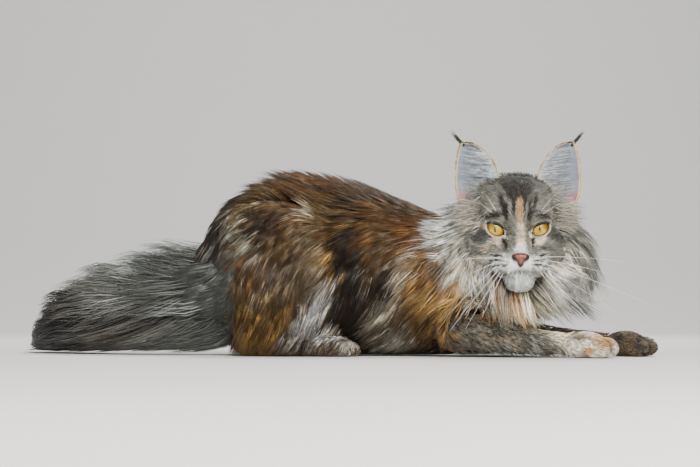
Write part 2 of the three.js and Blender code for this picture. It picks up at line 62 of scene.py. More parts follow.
UP = np.array([0.0, 0.0, 1.0])
EYE_LINE = np.array([166.0, -32.0, 126.5])  # middle between the eyes, origin of the head
EYE_SPREAD = 22.2
EYE_RADIUS = 11.0
EYE_DEPTH = 10.5
LID_SLANT = 0.52
APERTURE_WIDTH = 18.6
APERTURE_HEIGHT = 13.0
FAR_EAR_OUT = 4.0
FLOOR_GAP = 0.5
HAIR_GAP = FLOOR_GAP + 0.6  # how low the hair of the tail comes
RAY_STEPS = 60
EARS = ((-1, "ear_right"), (1, "ear_left"))

# The design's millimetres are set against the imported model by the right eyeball.
eye_low, eye_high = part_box("eye_right")
SHIFT = (np.array(eye_low) + np.array(eye_high)) * 500 - (EYE_LINE + [-EYE_SPREAD, EYE_DEPTH, 0])


def to_world(points):
    return (np.asarray(points) + SHIFT) * 0.001


# Small tools.


def unit(v):
    return v / np.maximum(np.linalg.norm(v, axis=-1, keepdims=True), 1e-9)


def dot(a, b):
    return np.sum(a * b, axis=-1, keepdims=True)


def mix(a, b, t):
    return a + (b - a) * t


def step(low, high, x):
    t = np.clip((x - low) / (high - low), 0, 1)
    return t * t * (3 - 2 * t)


def linear(colour):
    """An sRGB hex value such as 0xA85A26 as linear red, green and blue."""
    parts = np.array([(colour >> s) & 255 for s in (16, 8, 0)]) / 255
    return np.where(parts <= 0.04045, parts / 12.92, ((parts + 0.055) / 1.055) ** 2.4)


def waves(points, size, seed):
    """Smooth noise, about -1 to 1, with features `size` mm across."""
    random = np.random.default_rng(seed)
    total = np.zeros(len(points))
    for octave in range(2):
        ways = unit(random.normal(size=(6, 3)))
        ways *= math.pi / size * 2**octave * random.uniform(0.7, 1.4, (6, 1))
        phases = random.uniform(0, 2 * math.pi, 6)
        total += np.sin(points @ ways.T + phases).sum(axis=1) / 2.6 / 1.8**octave
    return np.clip(total, -1, 1)


def turned(ways, normals, angles):
    """Directions turned about the normals."""
    angles = np.asarray(angles)[:, None]
    return ways * np.cos(angles) + np.cross(normals, ways) * np.sin(angles)


# Limbs as tubes.


def spline(rows, s, extend):
    """Catmull-Rom through evenly spaced rows."""
    ends = (2 * rows[0] - rows[1], 2 * rows[-1] - rows[-2]) if extend else (rows[0], rows[-1])
    padded = np.vstack([ends[0], rows, ends[1]])
    place = np.clip(s, 0, 1) * (len(rows) - 1)
    i = np.minimum(place.astype(int), len(rows) - 2)
    t = (place - i)[:, None]
    a, b, c, d = (padded[i + k] for k in range(4))
    return b + 0.5 * t * (c - a + t * (2 * a - 5 * b + 4 * c - d + t * (3 * (b - c) + d - a)))


def ellipses(wide, high, sides):
    """Points round an ellipse for each row of half axes, as an array (row, side, xyz)."""
    angle = np.linspace(0, 2 * math.pi, sides, endpoint=False)[None, :, None]
    return wide[:, None] * np.cos(angle) + high[:, None] * np.sin(angle)


class Limb:
    """An elliptic tube through stations x, y, z, half width, half height."""

    def __init__(self, stations, slim=1.0, inset=0.0):
        rows = np.array(stations, dtype=float)
        self.s = np.linspace(0, 1, 97)
        self.at = spline(rows[:, :3], self.s, True)
        self.size = np.maximum(spline(rows[:, 3:], self.s, False) * slim - inset, 2.5)
        self.along = unit(np.gradient(self.at, axis=0))
        self.side = unit(np.cross(UP, self.along))
        self.lift = np.cross(self.along, self.side)
        self.length = np.linalg.norm(np.diff(self.at, axis=0), axis=1).sum()

    def rings(self, count, sides):
        """Rings of points from end to end, as an array (ring, side, xyz)."""
        picked = np.round(np.linspace(0, len(self.s) - 1, count)).astype(int)
        wide = self.side[picked] * self.size[picked, :1]
        high = self.lift[picked] * self.size[picked, 1:]
        return self.at[picked][:, None] + ellipses(wide, high, sides)

    def locate(self, points):
        """For each point: s, the angle round the axis, how far outside the tube it is, the station."""
        away = points[:, None, :] - self.at[None, ::3, :]
        near = np.argmin(np.einsum("nkx,nkx->nk", away, away), axis=1) * 3
        away = points - self.at[near]
        wide = np.sum(away * self.side[near], axis=1) / self.size[near, 0]
        high = np.sum(away * self.lift[near], axis=1) / self.size[near, 1]
        beyond = np.abs(np.sum(away * self.along[near], axis=1))
        ratio = np.sqrt(wide**2 + high**2)
        outside = (ratio - 1) * self.size[near].min(axis=1) + beyond * 0.7
        return self.s[near], np.arctan2(high, wide), outside, near

    def frame_at(self, place):
        """The axis and its side, lift and direction at places along it, which may lie past the tip."""
        tables = (self.at, self.side, self.lift, self.along)
        at, side, lift, along = (
            np.stack([np.interp(place, self.s, table[:, i]) for i in range(3)], 1) for table in tables
        )
        past = (np.maximum(place - 1, 0) + np.minimum(place, 0)) * self.length
        return at + along * past[:, None], side, lift


def spine_y(x):
    """Where the body's slanted middle lies."""
    return 106 - 0.26 * (x + 75)


def mirrored(stations, side):
    """The stations of the right limb, or those of the left one across the body's slanted axis."""
    if side < 0:
        return stations
    return [(x, 2 * spine_y(x) - y, *rest) for x, y, *rest in stations]


TORSO = [
    (-156, 124, 84, 14, 20),
    (-143, 121, 86, 42, 52),
    (-108, 113, 88, 66, 76),
    (-55, 100, 88, 73, 80),
    (5, 86, 82, 74, 76),
    (62, 72, 74, 70, 68),
    (112, 58, 70, 60, 62),
    (150, 48, 66, 48, 52),
    (176, 42, 60, 30, 36),
    (186, 40, 58, 14, 18),
]
NECK = [
    (118, 88, 92, 22, 24),
    (130, 74, 98, 42, 42),
    (147, 50, 104, 54, 50),
    (160, 28, 106, 57, 51),
    (166, 9, 105, 54, 49),
    (168, -5, 104, 44, 42),
    (169, -15, 103, 26, 26),
]
THIGH = [
    (-146, 62, 78, 8, 22),
    (-126, 57, 82, 26, 56),
    (-88, 51, 86, 34, 72),
    (-46, 44, 76, 33, 66),
    (-14, 38, 60, 26, 48),
    (2, 35, 48, 10, 18),
]
HIND_FOOT = [
    (-128, 38, 20, 8, 10),
    (-116, 37, 18, 14, 15),
    (-86, 33, 14, 15, 13),
    (-52, 27, 12, 14, 11),
    (-28, 22, 11, 13, 10),
    (-18, 20, 10, 8, 6),
]
FORELEG_RIGHT = [
    (92, 8, 30, 12, 14),
    (104, 2, 27, 20, 22),
    (136, -14, 21, 19, 19),
    (175, -33, 15, 16, 15),
    (208, -46, 13, 14.5, 13),
    (222, -51, 12, 9, 8),
]
FORELEG_LEFT = [
    (124, 90, 30, 12, 14),
    (136, 84, 27, 20, 22),
    (170, 66, 21, 19, 19),
    (214, 44, 15, 16, 15),
    (252, 28, 13, 14.5, 13),
    (268, 22, 12, 9, 8),
]
TAIL = [
    (-128, 121, 74, 12, 14),
    (-172, 128, 58, 27, 28),
    (-222, 145, 48, 28, 28),
    (-268, 172, 37, 25, 25),
    (-303, 206, 28, 18, 18),
    (-322, 238, 20, 8, 9),
]
REAR_END = -160
REAR_START = -85


def drawn_in(stations, amount):
    """The rear stations moved forwards, where the deepest hair lies over the rump."""
    moved = []
    for x, *rest in stations:
        share = 1 - (x - REAR_END) / (REAR_START - REAR_END)
        moved.append((x + amount * max(share, 0), *rest))
    return moved


LIMBS = {
    "torso": Limb(drawn_in(TORSO, 20), inset=1),
    "neck": Limb(NECK, inset=2),
    "thigh_right": Limb(drawn_in(THIGH, 28), inset=3),
    "thigh_left": Limb(drawn_in(mirrored(THIGH, 1), 28), inset=3),
    "hind_foot_right": Limb(drawn_in(HIND_FOOT, 30), inset=2),
    "hind_foot_left": Limb(drawn_in(mirrored(HIND_FOOT, 1), 30), inset=2),
    "foreleg_right": Limb(FORELEG_RIGHT, inset=3),
    "foreleg_left": Limb(FORELEG_LEFT, inset=3),
    "tail": Limb(TAIL, slim=0.75),
}
PAWS = {
    "front_paw_right": ((228, -53), -0.32, 1.0),
    "front_paw_left": ((276, 18), -0.36, 1.0),
    "hind_paw_right": (None, -0.18, 0.86),
    "hind_paw_left": (None, -0.32, 0.86),
}
PARTS = [*LIMBS, *PAWS, "head", "ear_right", "ear_left"]
NAMES = [*PARTS, "lids"]


# Solid shapes as distances.


def ellipsoid(p, at, size):
    size = np.array(size, dtype=float)
    q = (p - np.array(at)) / size
    near = np.linalg.norm(q, axis=1)
    slope = np.linalg.norm(q / size, axis=1)
    return near * (near - 1) / np.maximum(slope, 1e-6)


def capsule(p, a, b, radius):
    a, b = np.array(a, dtype=float), np.array(b, dtype=float)
    t = np.clip((p - a) @ (b - a) / ((b - a) @ (b - a)), 0, 1)
    return np.linalg.norm(p - a - t[:, None] * (b - a), axis=1) - radius


def join(a, b, k):
    h = np.maximum(k - np.abs(a - b), 0) / k
    return np.minimum(a, b) - h * h * k / 4


def carve(a, b, k):
    return -join(-a, b, k)


def star(distance, middle, ways, reach):
    """Where rays from the middle leave a shape."""
    middle = np.array(middle, dtype=float)
    r = np.full(len(ways), float(reach))
    for _ in range(RAY_STEPS):
        r -= 0.65 * distance(middle + ways * r[:, None])
    return middle + ways * r[:, None]


def star_grid(rings, sides):
    """Directions round the -Y axis, from it to its back."""
    polar = math.pi * np.linspace(0.004, 0.996, rings)
    angle = np.linspace(0, 2 * math.pi, sides, endpoint=False)
    p, a = np.meshgrid(polar, angle, indexing="ij")
    return np.stack([np.sin(p) * np.cos(a), -np.cos(p), np.sin(p) * np.sin(a)], -1).reshape(-1, 3)


def ring_faces(rings, sides):
    """Triangles between rings of points."""
    k, i = np.meshgrid(np.arange(rings - 1), np.arange(sides), indexing="ij")
    a = (k * sides + i).ravel()
    b = (k * sides + (i + 1) % sides).ravel()
    c, d = a + sides, b + sides
    return np.concatenate([np.stack([a, b, d], 1), np.stack([a, d, c], 1)])


def grid_faces(rings, sides):
    """Triangles of a closed tube of rings with both ends shut."""
    fan = np.arange(1, sides - 1)
    first = np.stack([np.zeros_like(fan), fan + 1, fan], 1)
    base = (rings - 1) * sides
    last = np.stack([np.full_like(fan, base), base + fan, base + fan + 1], 1)
    return np.concatenate([ring_faces(rings, sides), first, last])


# The head, from the eye line: x to the cat's left, y backwards, z up.

HEAD_MASSES = [
    ((0, 40, 12), (44, 46, 46)),
    ((0, 60, 0), (36, 34, 36)),
    ((20, 33, 33), (19, 24, 20)),
    ((0, 19, 18), (31, 24, 32)),
    ((19, 11, 15), (15, 12, 9)),
    ((0, 2, -6), (11.5, 15, 16)),
    ((0, -11, -17), (12.5, 19, 12)),
    ((26, 24, -17), (25, 31, 25)),
    ((0, -5, -34), (24, 22, 17)),
    ((0, 10, -40), (21, 28, 16)),
]
HEAD_BLEND = 11
LID_POINTS = 72
HEAD_CENTRE = (0, 24, -6)
MOUTH = [(-20, -12, -45.5), (-13, -23.5, -46.5), (-5, -30, -44), (0, -31.5, -41.5)]
MOUTH += [(-x, y, z) for x, y, z in MOUTH[2::-1]]


def almond(side, outset=0.0):
    """Outline of the opening between the lids, about the eye's centre, x and z, grown by outset."""
    w, h = side * APERTURE_WIDTH / 2, APERTURE_HEIGHT
    top = [(-w, 0), (-0.6 * w, 0.5 * h), (0.3 * w, 0.34 * h), (w, 0.1 * h)]
    low = [(w, 0.1 * h), (0.9 * w, -0.5 * h), (-0.55 * w, -0.66 * h), (-w, 0)]
    t = np.linspace(0, 1, LID_POINTS // 2, endpoint=False)[:, None]
    rows = []
    for a, b, c, d in (np.array(top), np.array(low)):
        rows.append((1 - t) ** 3 * a + 3 * (1 - t) ** 2 * t * b + 3 * (1 - t) * t * t * c + t**3 * d)
    line = np.vstack(rows)
    c, s = math.cos(LID_SLANT), side * math.sin(LID_SLANT)
    line = line @ np.array([[c, s], [-s, c]])
    along = np.roll(line, -1, axis=0) - np.roll(line, 1, axis=0)
    out = unit(np.stack([along[:, 1], -along[:, 0]], 1))
    if np.sum(out * line) < 0:
        out = -out
    return line + out * outset


def outline_distance(points, line):
    """Signed distance in the plane from a closed outline, negative inside."""
    a, b = line, np.roll(line, -1, axis=0)
    run = b - a
    away = points[:, None] - a[None]
    t = np.clip(np.sum(away * run, axis=2) / np.sum(run * run, axis=1), 0, 1)
    far = np.linalg.norm(away - t[..., None] * run, axis=2).min(axis=1)
    over = (a[:, 1] > points[:, None, 1]) != (b[:, 1] > points[:, None, 1])
    rise = np.where(run[:, 1] == 0, 1e-9, run[:, 1])
    cross_x = a[:, 0] + (points[:, None, 1] - a[:, 1]) / rise * run[:, 0]
    inside = (over & (points[:, None, 0] < cross_x)).sum(axis=1) % 2 == 1
    return np.where(inside, -far, far)


def eye_gap(p, outset=0.0):
    """Distance from the almond openings, run through from the front of the eyes."""
    gap = np.full(len(p), 50.0)
    half = np.abs(p[:, 0])
    close = (np.abs(half - EYE_SPREAD) < 20) & (np.abs(p[:, 2]) < 18) & (p[:, 1] < 30)
    if close.any():
        local = np.stack([half[close] - EYE_SPREAD, p[close, 2]], 1)
        flat = outline_distance(local, almond(1)) - outset
        gap[close] = np.maximum(flat, p[close, 1] - EYE_DEPTH + 2)
    return gap


def head_distance(p, openings=True):
    """Distance from the skin of the head."""
    half = np.column_stack([np.abs(p[:, 0]), p[:, 1:]])
    d = np.full(len(p), 1e3)
    for at, size in HEAD_MASSES:
        here = ellipsoid(half, at, size)
        d = here if d[0] == 1e3 else join(d, here, HEAD_BLEND)
    d = carve(d, ellipsoid(half, (23, -7, -1), (11, 9, 8)), 6)
    d = d + np.clip(0.6 + 0.07 * (p[:, 1] + 20), 0.6, 4)  # the fur is deeper towards the back
    d = join(d, ellipsoid(half, (11.5, -16.5, -37), (15, 13.5, 11)), 3)
    d = join(d, ellipsoid(p, (0, -11.5, -50), (14, 12.5, 9.5)), 3)
    d = join(d, np.linalg.norm(half - [EYE_SPREAD, EYE_DEPTH, 0], axis=1) - EYE_RADIUS - 1.7, 2.5)
    lips = np.full(len(p), 1e3)
    for a, b in zip(MOUTH, MOUTH[1:]):
        lips = np.minimum(lips, capsule(p, a, b, 0.9))
    lips = np.minimum(lips, capsule(p, (0, -33, -35), (0, -33, -42), 0.8))
    d = carve(d, lips, 1.6)
    if openings:
        d = np.maximum(d, -eye_gap(p, 1.3))
    return d


HEAD_RINGS, HEAD_SIDES = 176, 208


def head_skin():
    ways = star_grid(HEAD_RINGS, HEAD_SIDES)
    points = star(head_distance, HEAD_CENTRE, ways, 105)
    return points, grid_faces(HEAD_RINGS, HEAD_SIDES)


LID_ROWS = [(-0.25, 0.05), (-0.1, 0.55), (0.3, 1.05), (0.9, 1.45)]  # outset and height over the eyeball, mm
LID_SKIRT = [(2.1, -0.35), (3.4, 0.5)]  # outset and depth under the head's surface, mm


def lid_rings(side):
    """The lids: a rolled rim along the opening that runs out into the face."""
    centre = np.array([side * EYE_SPREAD, EYE_DEPTH, 0])
    rows = []
    for outset, height in LID_ROWS:
        flat = almond(side, outset)
        radius = EYE_RADIUS + height
        forward = np.sqrt(np.maximum(radius**2 - np.sum(flat**2, axis=1), 4))
        rows.append(centre + np.stack([flat[:, 0], -forward, flat[:, 1]], 1))
    for outset, depth in LID_SKIRT:
        flat = almond(side, outset)
        p = np.stack([centre[0] + flat[:, 0], np.full(len(flat), -60.0), flat[:, 1]], 1)
        for _ in range(RAY_STEPS):
            p[:, 1] += 0.7 * head_distance(p, openings=False)
        p[:, 1] += depth
        rows.append(p)
    faces = ring_faces(len(rows), len(rows[0]))
    points = np.vstack(rows)
    sample = points[faces[0]]
    normal = np.cross(sample[1] - sample[0], sample[2] - sample[0])
    return points, faces if normal[1] < 0 else faces[:, ::-1]


# Ears.


def ear_edges(z):
    outer = 60 - 0.0045 * (z - 52) ** 2 - 0.028 * np.maximum(38 - z, 0) ** 2
    climb = np.clip((z - 42) / 46, 0, 1)
    inner = 17.5 + 36 * (1 - np.sqrt(1 - climb**2)) + 0.02 * np.maximum(40 - z, 0) ** 1.5
    return inner, outer


EAR_ROWS, EAR_COLUMNS = 56, 28
EAR_ROOT = 14.0
EAR_TOP = 87.6
TIP_TUFT_HAIRS = 46


def ear_shift(side):
    return FAR_EAR_OUT if side > 0 else 0


def ear_cup(u, z):
    """How far back the front of the ear lies, deepest midway between its edges."""
    bow = 2 * u - 1
    depth = 3 + 22 * np.minimum(1, (90 - z) / 60)
    return 23 + 0.06 * z + depth * (1 - bow * bow)


def ear_sheet(side, u, v, behind):
    """A point of the ear: u from the inner edge 0 to the outer 1, v from the root 0 to the tip 1."""
    z = mix(EAR_ROOT, EAR_TOP, v)
    inner, outer = ear_edges(z)
    x = side * mix(inner, outer, u) + ear_shift(side)
    ridge = 2.0 * np.exp(-(((u - 0.8) / 0.09) ** 2) - ((v - 0.3) / 0.12) ** 2)  # the fold at the outer edge
    y = ear_cup(u, z) + behind - ridge
    return np.stack([x, y, z], -1)


def ear_skin(side):
    v, u = np.meshgrid(np.linspace(0, 1, EAR_ROWS) ** 0.92, np.linspace(0, 1, EAR_COLUMNS), indexing="ij")
    front = ear_sheet(side, u.ravel(), v.ravel(), 0.4)
    back = ear_sheet(side, u.ravel(), v.ravel(), 2.0)
    points = np.vstack([front, back])
    n = len(front)
    k, i = np.meshgrid(np.arange(EAR_ROWS - 1), np.arange(EAR_COLUMNS - 1), indexing="ij")
    a = (k * EAR_COLUMNS + i).ravel()
    quads = [np.stack([a, a + 1, a + 1 + EAR_COLUMNS, a + EAR_COLUMNS], 1)]
    quads.append(np.stack([n + a + 1, n + a, n + a + EAR_COLUMNS, n + a + EAR_COLUMNS + 1], 1))
    k = np.arange(EAR_ROWS - 1) * EAR_COLUMNS
    e = k + EAR_COLUMNS - 1
    quads.append(np.stack([k, k + EAR_COLUMNS, n + k + EAR_COLUMNS, n + k], 1))
    quads.append(np.stack([e + EAR_COLUMNS, e, n + e, n + e + EAR_COLUMNS], 1))
    i = np.arange(EAR_COLUMNS - 1)
    t = (EAR_ROWS - 1) * EAR_COLUMNS + i
    quads.append(np.stack([i + 1, i, n + i, n + i + 1], 1))
    quads.append(np.stack([t, t + 1, n + t + 1, n + t], 1))
    q = np.vstack(quads)
    faces = np.concatenate([q[:, [0, 1, 2]], q[:, [0, 2, 3]]])
    return points, faces if side > 0 else faces[:, ::-1]


# Paws.


def paw_place(name):
    spot, heading, size = PAWS[name]
    if spot is None:
        limb = LIMBS[name.replace("paw", "foot")]
        spot = limb.at[int(0.94 * (len(limb.s) - 1))][:2]
    ahead = np.array([math.cos(heading), math.sin(heading), 0])
    return np.array([spot[0], spot[1], 0.0]), ahead, np.cross(UP, ahead), size


def paw_distance(p):
    """A paw from its own middle, x forwards and y sideways: a pad and four toes."""
    d = ellipsoid(p, (1, 0, 12), (20.5, 17, 12.8))
    for side in (-1.5, -0.5, 0.5, 1.5):
        forward = 14.5 if abs(side) > 1 else 20
        turn = -side * 0.1
        c, s = math.cos(turn), math.sin(turn)
        q = p - [forward, side * 9.0, 9.6]
        q = np.column_stack([q[:, 0] * c + q[:, 1] * s, q[:, 1] * c - q[:, 0] * s, q[:, 2]])
        d = join(d, ellipsoid(q, (0, 0, 0), (12.2, 5.3, 9.4)), 1.6)
    return d


PAW_RINGS, PAW_SIDES = 56, 64


def paw_skin(name):
    at, ahead, beside, size = paw_place(name)
    ways = star_grid(PAW_RINGS, PAW_SIDES)[:, [1, 0, 2]] * [-1, -1, 1]
    local = star(paw_distance, (6, 0, 10), ways, 50)
    points = at + size * (local[:, :1] * ahead + local[:, 1:2] * beside + local[:, 2:] * UP)
    return points, grid_faces(PAW_RINGS, PAW_SIDES)


def outward(points, faces):
    """Faces turned so that the closed shape has a positive volume."""
    a, b, c = (points[faces[:, k]] for k in range(3))
    volume = np.sum(a * np.cross(b, c))
    return faces if volume > 0 else faces[:, ::-1]


# Meshes.


def new_object(name, points, faces, colours=None, uv=None):
    """A mesh object in metres from the design's millimetres. uv holds three corners to a face."""
    mesh = bpy.data.meshes.new(name)
    mesh.vertices.add(len(points))
    mesh.vertices.foreach_set("co", to_world(points).astype(np.float32).ravel())
    mesh.loops.add(faces.size)
    mesh.loops.foreach_set("vertex_index", faces.astype(np.int32).ravel())
    mesh.polygons.add(len(faces))
    mesh.polygons.foreach_set("loop_start", np.arange(0, faces.size, 3, dtype=np.int32))
    mesh.polygons.foreach_set("use_smooth", np.full(len(faces), True))
    mesh.update(calc_edges=True)
    if colours is not None:
        layer = mesh.attributes.new("coat_colour", "FLOAT_COLOR", "POINT")
        rgba = np.ones((len(points), 4), dtype=np.float32)
        rgba[:, :3] = np.clip(colours, 0, 1)
        layer.data.foreach_set("color", rgba.ravel())
    if uv is not None:
        layer = mesh.uv_layers.new(name="OFBake")
        layer.data.foreach_set("uv", uv.astype(np.float32).ravel())
    made = bpy.data.objects.new(name, mesh)
    bpy.context.scene.collection.objects.link(made)
    return made


def dress(piece, material):
    """A piece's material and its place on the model's one body."""
    piece.data.materials.append(material)
    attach(piece, "root")


LIMB_RINGS = 40
SKIN_VOXEL = 0.0042


def body_skin():
    """Trunk, neck, legs and tail grown together into one smooth skin."""
    all_points, all_faces, count = [], [], 0
    for limb in LIMBS.values():
        points = limb.rings(LIMB_RINGS, LIMB_RINGS).reshape(-1, 3)
        faces = outward(points, grid_faces(LIMB_RINGS, LIMB_RINGS))
        all_points.append(points)
        all_faces.append(faces + count)
        count += len(points)
    rough = new_object("rough_body", np.vstack(all_points), np.vstack(all_faces))
    remesh = rough.modifiers.new("Join", "REMESH")
    remesh.mode = "VOXEL"
    remesh.voxel_size = SKIN_VOXEL
    soften = rough.modifiers.new("Soften", "SMOOTH")
    soften.factor = 0.5
    soften.iterations = 8
    shaped = rough.evaluated_get(bpy.context.evaluated_depsgraph_get())
    mesh = shaped.to_mesh()
    mesh.calc_loop_triangles()
    points = np.empty(len(mesh.vertices) * 3, dtype=np.float32)
    mesh.vertices.foreach_get("co", points)
    faces = np.empty(len(mesh.loop_triangles) * 3, dtype=np.int32)
    mesh.loop_triangles.foreach_get("vertices", faces)
    shaped.to_mesh_clear()
    bpy.data.objects.remove(rough, do_unlink=True)
    return points.reshape(-1, 3).astype(float) * 1000 - SHIFT, faces.reshape(-1, 3)


def atlas(cell, across, up):
    """Places in one of the 16 squares of the unwrap, from 0 to 1 across and up it."""
    return np.stack([cell % 4 / 4 + 0.012 + across * 0.215, cell // 4 / 4 + 0.012 + up * 0.226], -1)


class Skin:
    """The whole skin in design millimetres, with the part that each point belongs to."""

    def __init__(self):
        points, faces = body_skin()
        pieces = [(points, faces, self.nearest_limb(points))]

        def add(made, name, origin=0.0):
            p, f = made
            f = f if name == "lids" else outward(p, f)
            pieces.append((p + origin, f, np.full(len(p), NAMES.index(name))))

        for name in PAWS:
            add(paw_skin(name), name)
        add(head_skin(), "head", EYE_LINE)
        for side, name in EARS:
            add(ear_skin(side), name, EYE_LINE)
        for side, _ in EARS:
            add(lid_rings(side), "lids", EYE_LINE)
        starts = np.cumsum([0] + [len(p) for p, _, _ in pieces])
        self.points = np.vstack([p for p, _, _ in pieces])
        self.points[:, 2] = np.maximum(self.points[:, 2], FLOOR_GAP)
        self.faces = np.vstack([f + s for (_, f, _), s in zip(pieces, starts)])
        self.owner = np.concatenate([o for _, _, o in pieces])
        corners = self.points[self.faces]
        flat = np.cross(corners[:, 1] - corners[:, 0], corners[:, 2] - corners[:, 0])
        self.area = np.linalg.norm(flat, axis=1) / 2
        self.normals = np.zeros_like(self.points)
        for k in range(3):
            np.add.at(self.normals, self.faces[:, k], flat)
        self.normals = unit(self.normals)
        self.middle = corners.mean(axis=1)
        self.face_normals = unit(flat)
        self.face_owner = self.owner[self.faces[:, 0]]
        self.uv = self.unwrap()
        under = (self.face_normals[:, 2] < -0.55) & (self.middle[:, 2] < 24)
        self.area *= np.where(under, 0.12, 1.0)  # little hair is needed where the cat lies on it
        # Hair is laid over everything but the ears and lids, which would catch it.
        smooth = self.face_owner < PARTS.index("ear_right")
        self.tree = BVHTree.FromPolygons(self.points.tolist(), self.faces[smooth].tolist())
        self.ear_tree = BVHTree.FromPolygons(self.points.tolist(), self.faces[~smooth].tolist())

    def nearest_limb(self, points):
        best = np.full(len(points), 1e9)
        owner = np.zeros(len(points), dtype=int)
        for i, limb in enumerate(LIMBS.values()):
            outside = np.abs(limb.locate(points)[2])
            owner = np.where(outside < best, i, owner)
            best = np.minimum(outside, best)
        return owner

    def unwrap(self):
        """Corners of every face in a 4 by 4 atlas: round each part across, along it upwards."""
        across, up = np.zeros(len(self.points)), np.zeros(len(self.points))
        for i, name in enumerate(NAMES):
            mine = self.owner == i
            p = self.points[mine]
            if name in LIMBS:
                s, angle = LIMBS[name].locate(p)[:2]
                across[mine], up[mine] = angle / (2 * math.pi) + 0.5, s
            elif name in PAWS:
                at, ahead, beside, _ = paw_place(name)
                q = p - at
                across[mine] = np.arctan2(q @ UP - 10, q @ beside) / (2 * math.pi) + 0.5
                up[mine] = np.clip((q @ ahead + 25) / 65, 0, 1)
            else:
                q = p - EYE_LINE
                across[mine] = np.arctan2(q[:, 2] - 10, q[:, 0]) / (2 * math.pi) + 0.5
                up[mine] = np.clip((q[:, 1] + 45) / 150, 0, 1)
        across, up = across[self.faces], up[self.faces]
        wraps = np.ptp(across, axis=1) > 0.5
        across = np.where(wraps[:, None] & (across < 0.5), across + 1, across)
        return atlas(self.face_owner[:, None], across, up)

    def sample(self, weights, count, random):
        """Random roots over the faces, spread by area times weight."""
        spread = np.cumsum(self.area * weights)
        picked = np.searchsorted(spread, random.uniform(0, spread[-1], count))
        a, b = random.uniform(size=(2, count))
        over = a + b > 1
        a, b = np.where(over, 1 - a, a), np.where(over, 1 - b, b)
        share = np.stack([1 - a - b, a, b], 1)[..., None]
        corners = self.faces[picked]
        return (
            np.sum(self.points[corners] * share, axis=1),
            unit(np.sum(self.normals[corners] * share, axis=1)),
            self.face_owner[picked],
            np.sum(self.uv[picked] * share, axis=1),
        )

    def nearest(self, points, ears=False):
        spots, normals = np.empty_like(points), np.empty_like(points)
        find = (self.ear_tree if ears else self.tree).find_nearest
        for i, p in enumerate(points.tolist()):
            spot, normal, _, _ = find(p)
            spots[i], normals[i] = spot, normal
        return spots, normals


KEPT = {}


def skin():
    if "skin" not in KEPT:
        KEPT["skin"] = Skin()
    return KEPT["skin"]


# Markings. Colours are named for what they look like in the coat.
RUST = 0x6E4922
GOLD = 0xA98244
TAN = 0xBD985D
DEEP = 0x472E13
BLACK = 0x120F0C
UMBER = 0x292017
BROWN = 0x5B4628
TAUPE = 0x7C6F5B
SMOKE = 0x53554F
STEEL = 0x7F8178
ASH = 0x969A92
SILVER = 0xBAB9AA
CREAM = 0xE3D8BF
WHITE = 0xF6F6F0
FROST = 0xDEE5E2
PEACH = 0xD0A070
STRAW = 0x85714D

# Patches of the near side, seen from the right: middle x and z, half length and half width in mm,
# turn in degrees from the x axis, main colour and the colour of the hairs mixed into it.
FLANK = [
    (-2, 166, 40, 12, 0, UMBER, BROWN),
    (-58, 172, 54, 13, 2, RUST, BLACK),
    (-120, 140, 40, 12, 42, STRAW, BLACK),
    (-136, 148, 36, 10, 46, UMBER, BLACK),
    (-144, 114, 22, 14, 20, BLACK, UMBER),
    (-50, 132, 34, 34, 0, BROWN, RUST),
    (-87, 130, 17, 24, 12, UMBER, DEEP),
    (-66, 152, 22, 9, 8, DEEP, RUST),
    (-47, 145, 12, 4.5, 62, CREAM, TAUPE),
    (-45, 118, 12, 4, 60, TAUPE, CREAM),
    (-112, 118, 26, 6, -48, SILVER, STRAW),
    (-86, 84, 38, 9, -42, TAUPE, SILVER),
    (-106, 82, 19, 13, -10, RUST, DEEP),
    (-49, 88, 24, 20, 20, TAUPE, BROWN),
    (-64, 104, 18, 9, -20, BROWN, UMBER),
    (-18, 96, 9, 38, 3, GOLD, DEEP),
    (-88, 58, 22, 6, -24, STRAW, CREAM),
    (-84, 46, 26, 11, -10, BROWN, GOLD),
    (-96, 22, 32, 20, 0, BROWN, GOLD),
    (-58, 54, 12, 9, -40, BROWN, GOLD),
    (-36, 40, 33, 12, 52, WHITE, STEEL),
    (-28, 18, 12, 7, 30, FROST, STEEL),
    (-52, 10, 20, 7, 0, BROWN, UMBER),
    (1, 90, 15, 58, 2, BLACK, BLACK),
    (14, 78, 2.2, 22, -6, SILVER, UMBER),
    # Painted shade: the low flank in front of the hind foot, brown fur painted near black for the shade
    # under the belly.
    (0, 30, 18, 20, 0, UMBER, DEEP),
    (18, 124, 11, 27, 0, RUST, BROWN),
    (30, 98, 6, 30, -6, BROWN, TAUPE),
    (34, 68, 17, 19, 40, UMBER, BLACK),
    (53, 121, 18, 24, 0, RUST, DEEP),
    (70, 100, 13, 22, 0, DEEP, RUST),
    (62, 142, 28, 12, -8, DEEP, RUST),
    (46, 160, 26, 6, -18, BLACK, UMBER),
    (54, 82, 19, 8, 76, CREAM, GOLD),
    (35, 46, 24, 8, 48, CREAM, SILVER),
    (71, 80, 20, 9, 78, RUST, GOLD),
    (86, 54, 30, 21, 22, TAN, GOLD),
    (72, 30, 24, 8, 22, DEEP, GOLD),
    (96, 22, 28, 8, 16, UMBER, GOLD),
    (2, 9, 16, 7, 0, SILVER, SMOKE),
    (42, 12, 17, 11, 20, SILVER, SMOKE),
]
# The hidden side has patches of the same kind in other places.
FAR_FLANK = [
    (-70, 172, 70, 16, 0, UMBER, RUST),
    (-120, 120, 34, 26, 30, RUST, BLACK),
    (-60, 120, 26, 40, 10, UMBER, BROWN),
    (-90, 60, 34, 14, -30, TAUPE, SILVER),
    (-20, 110, 20, 40, -10, RUST, GOLD),
    (-30, 48, 30, 16, 30, CREAM, SILVER),
    (25, 100, 12, 54, 8, UMBER, BLACK),
    (60, 110, 22, 40, 0, RUST, GOLD),
    (45, 50, 10, 34, 15, TAUPE, CREAM),
    (100, 90, 22, 40, 10, DEEP, RUST),
    (90, 40, 26, 22, 20, TAN, GOLD),
]

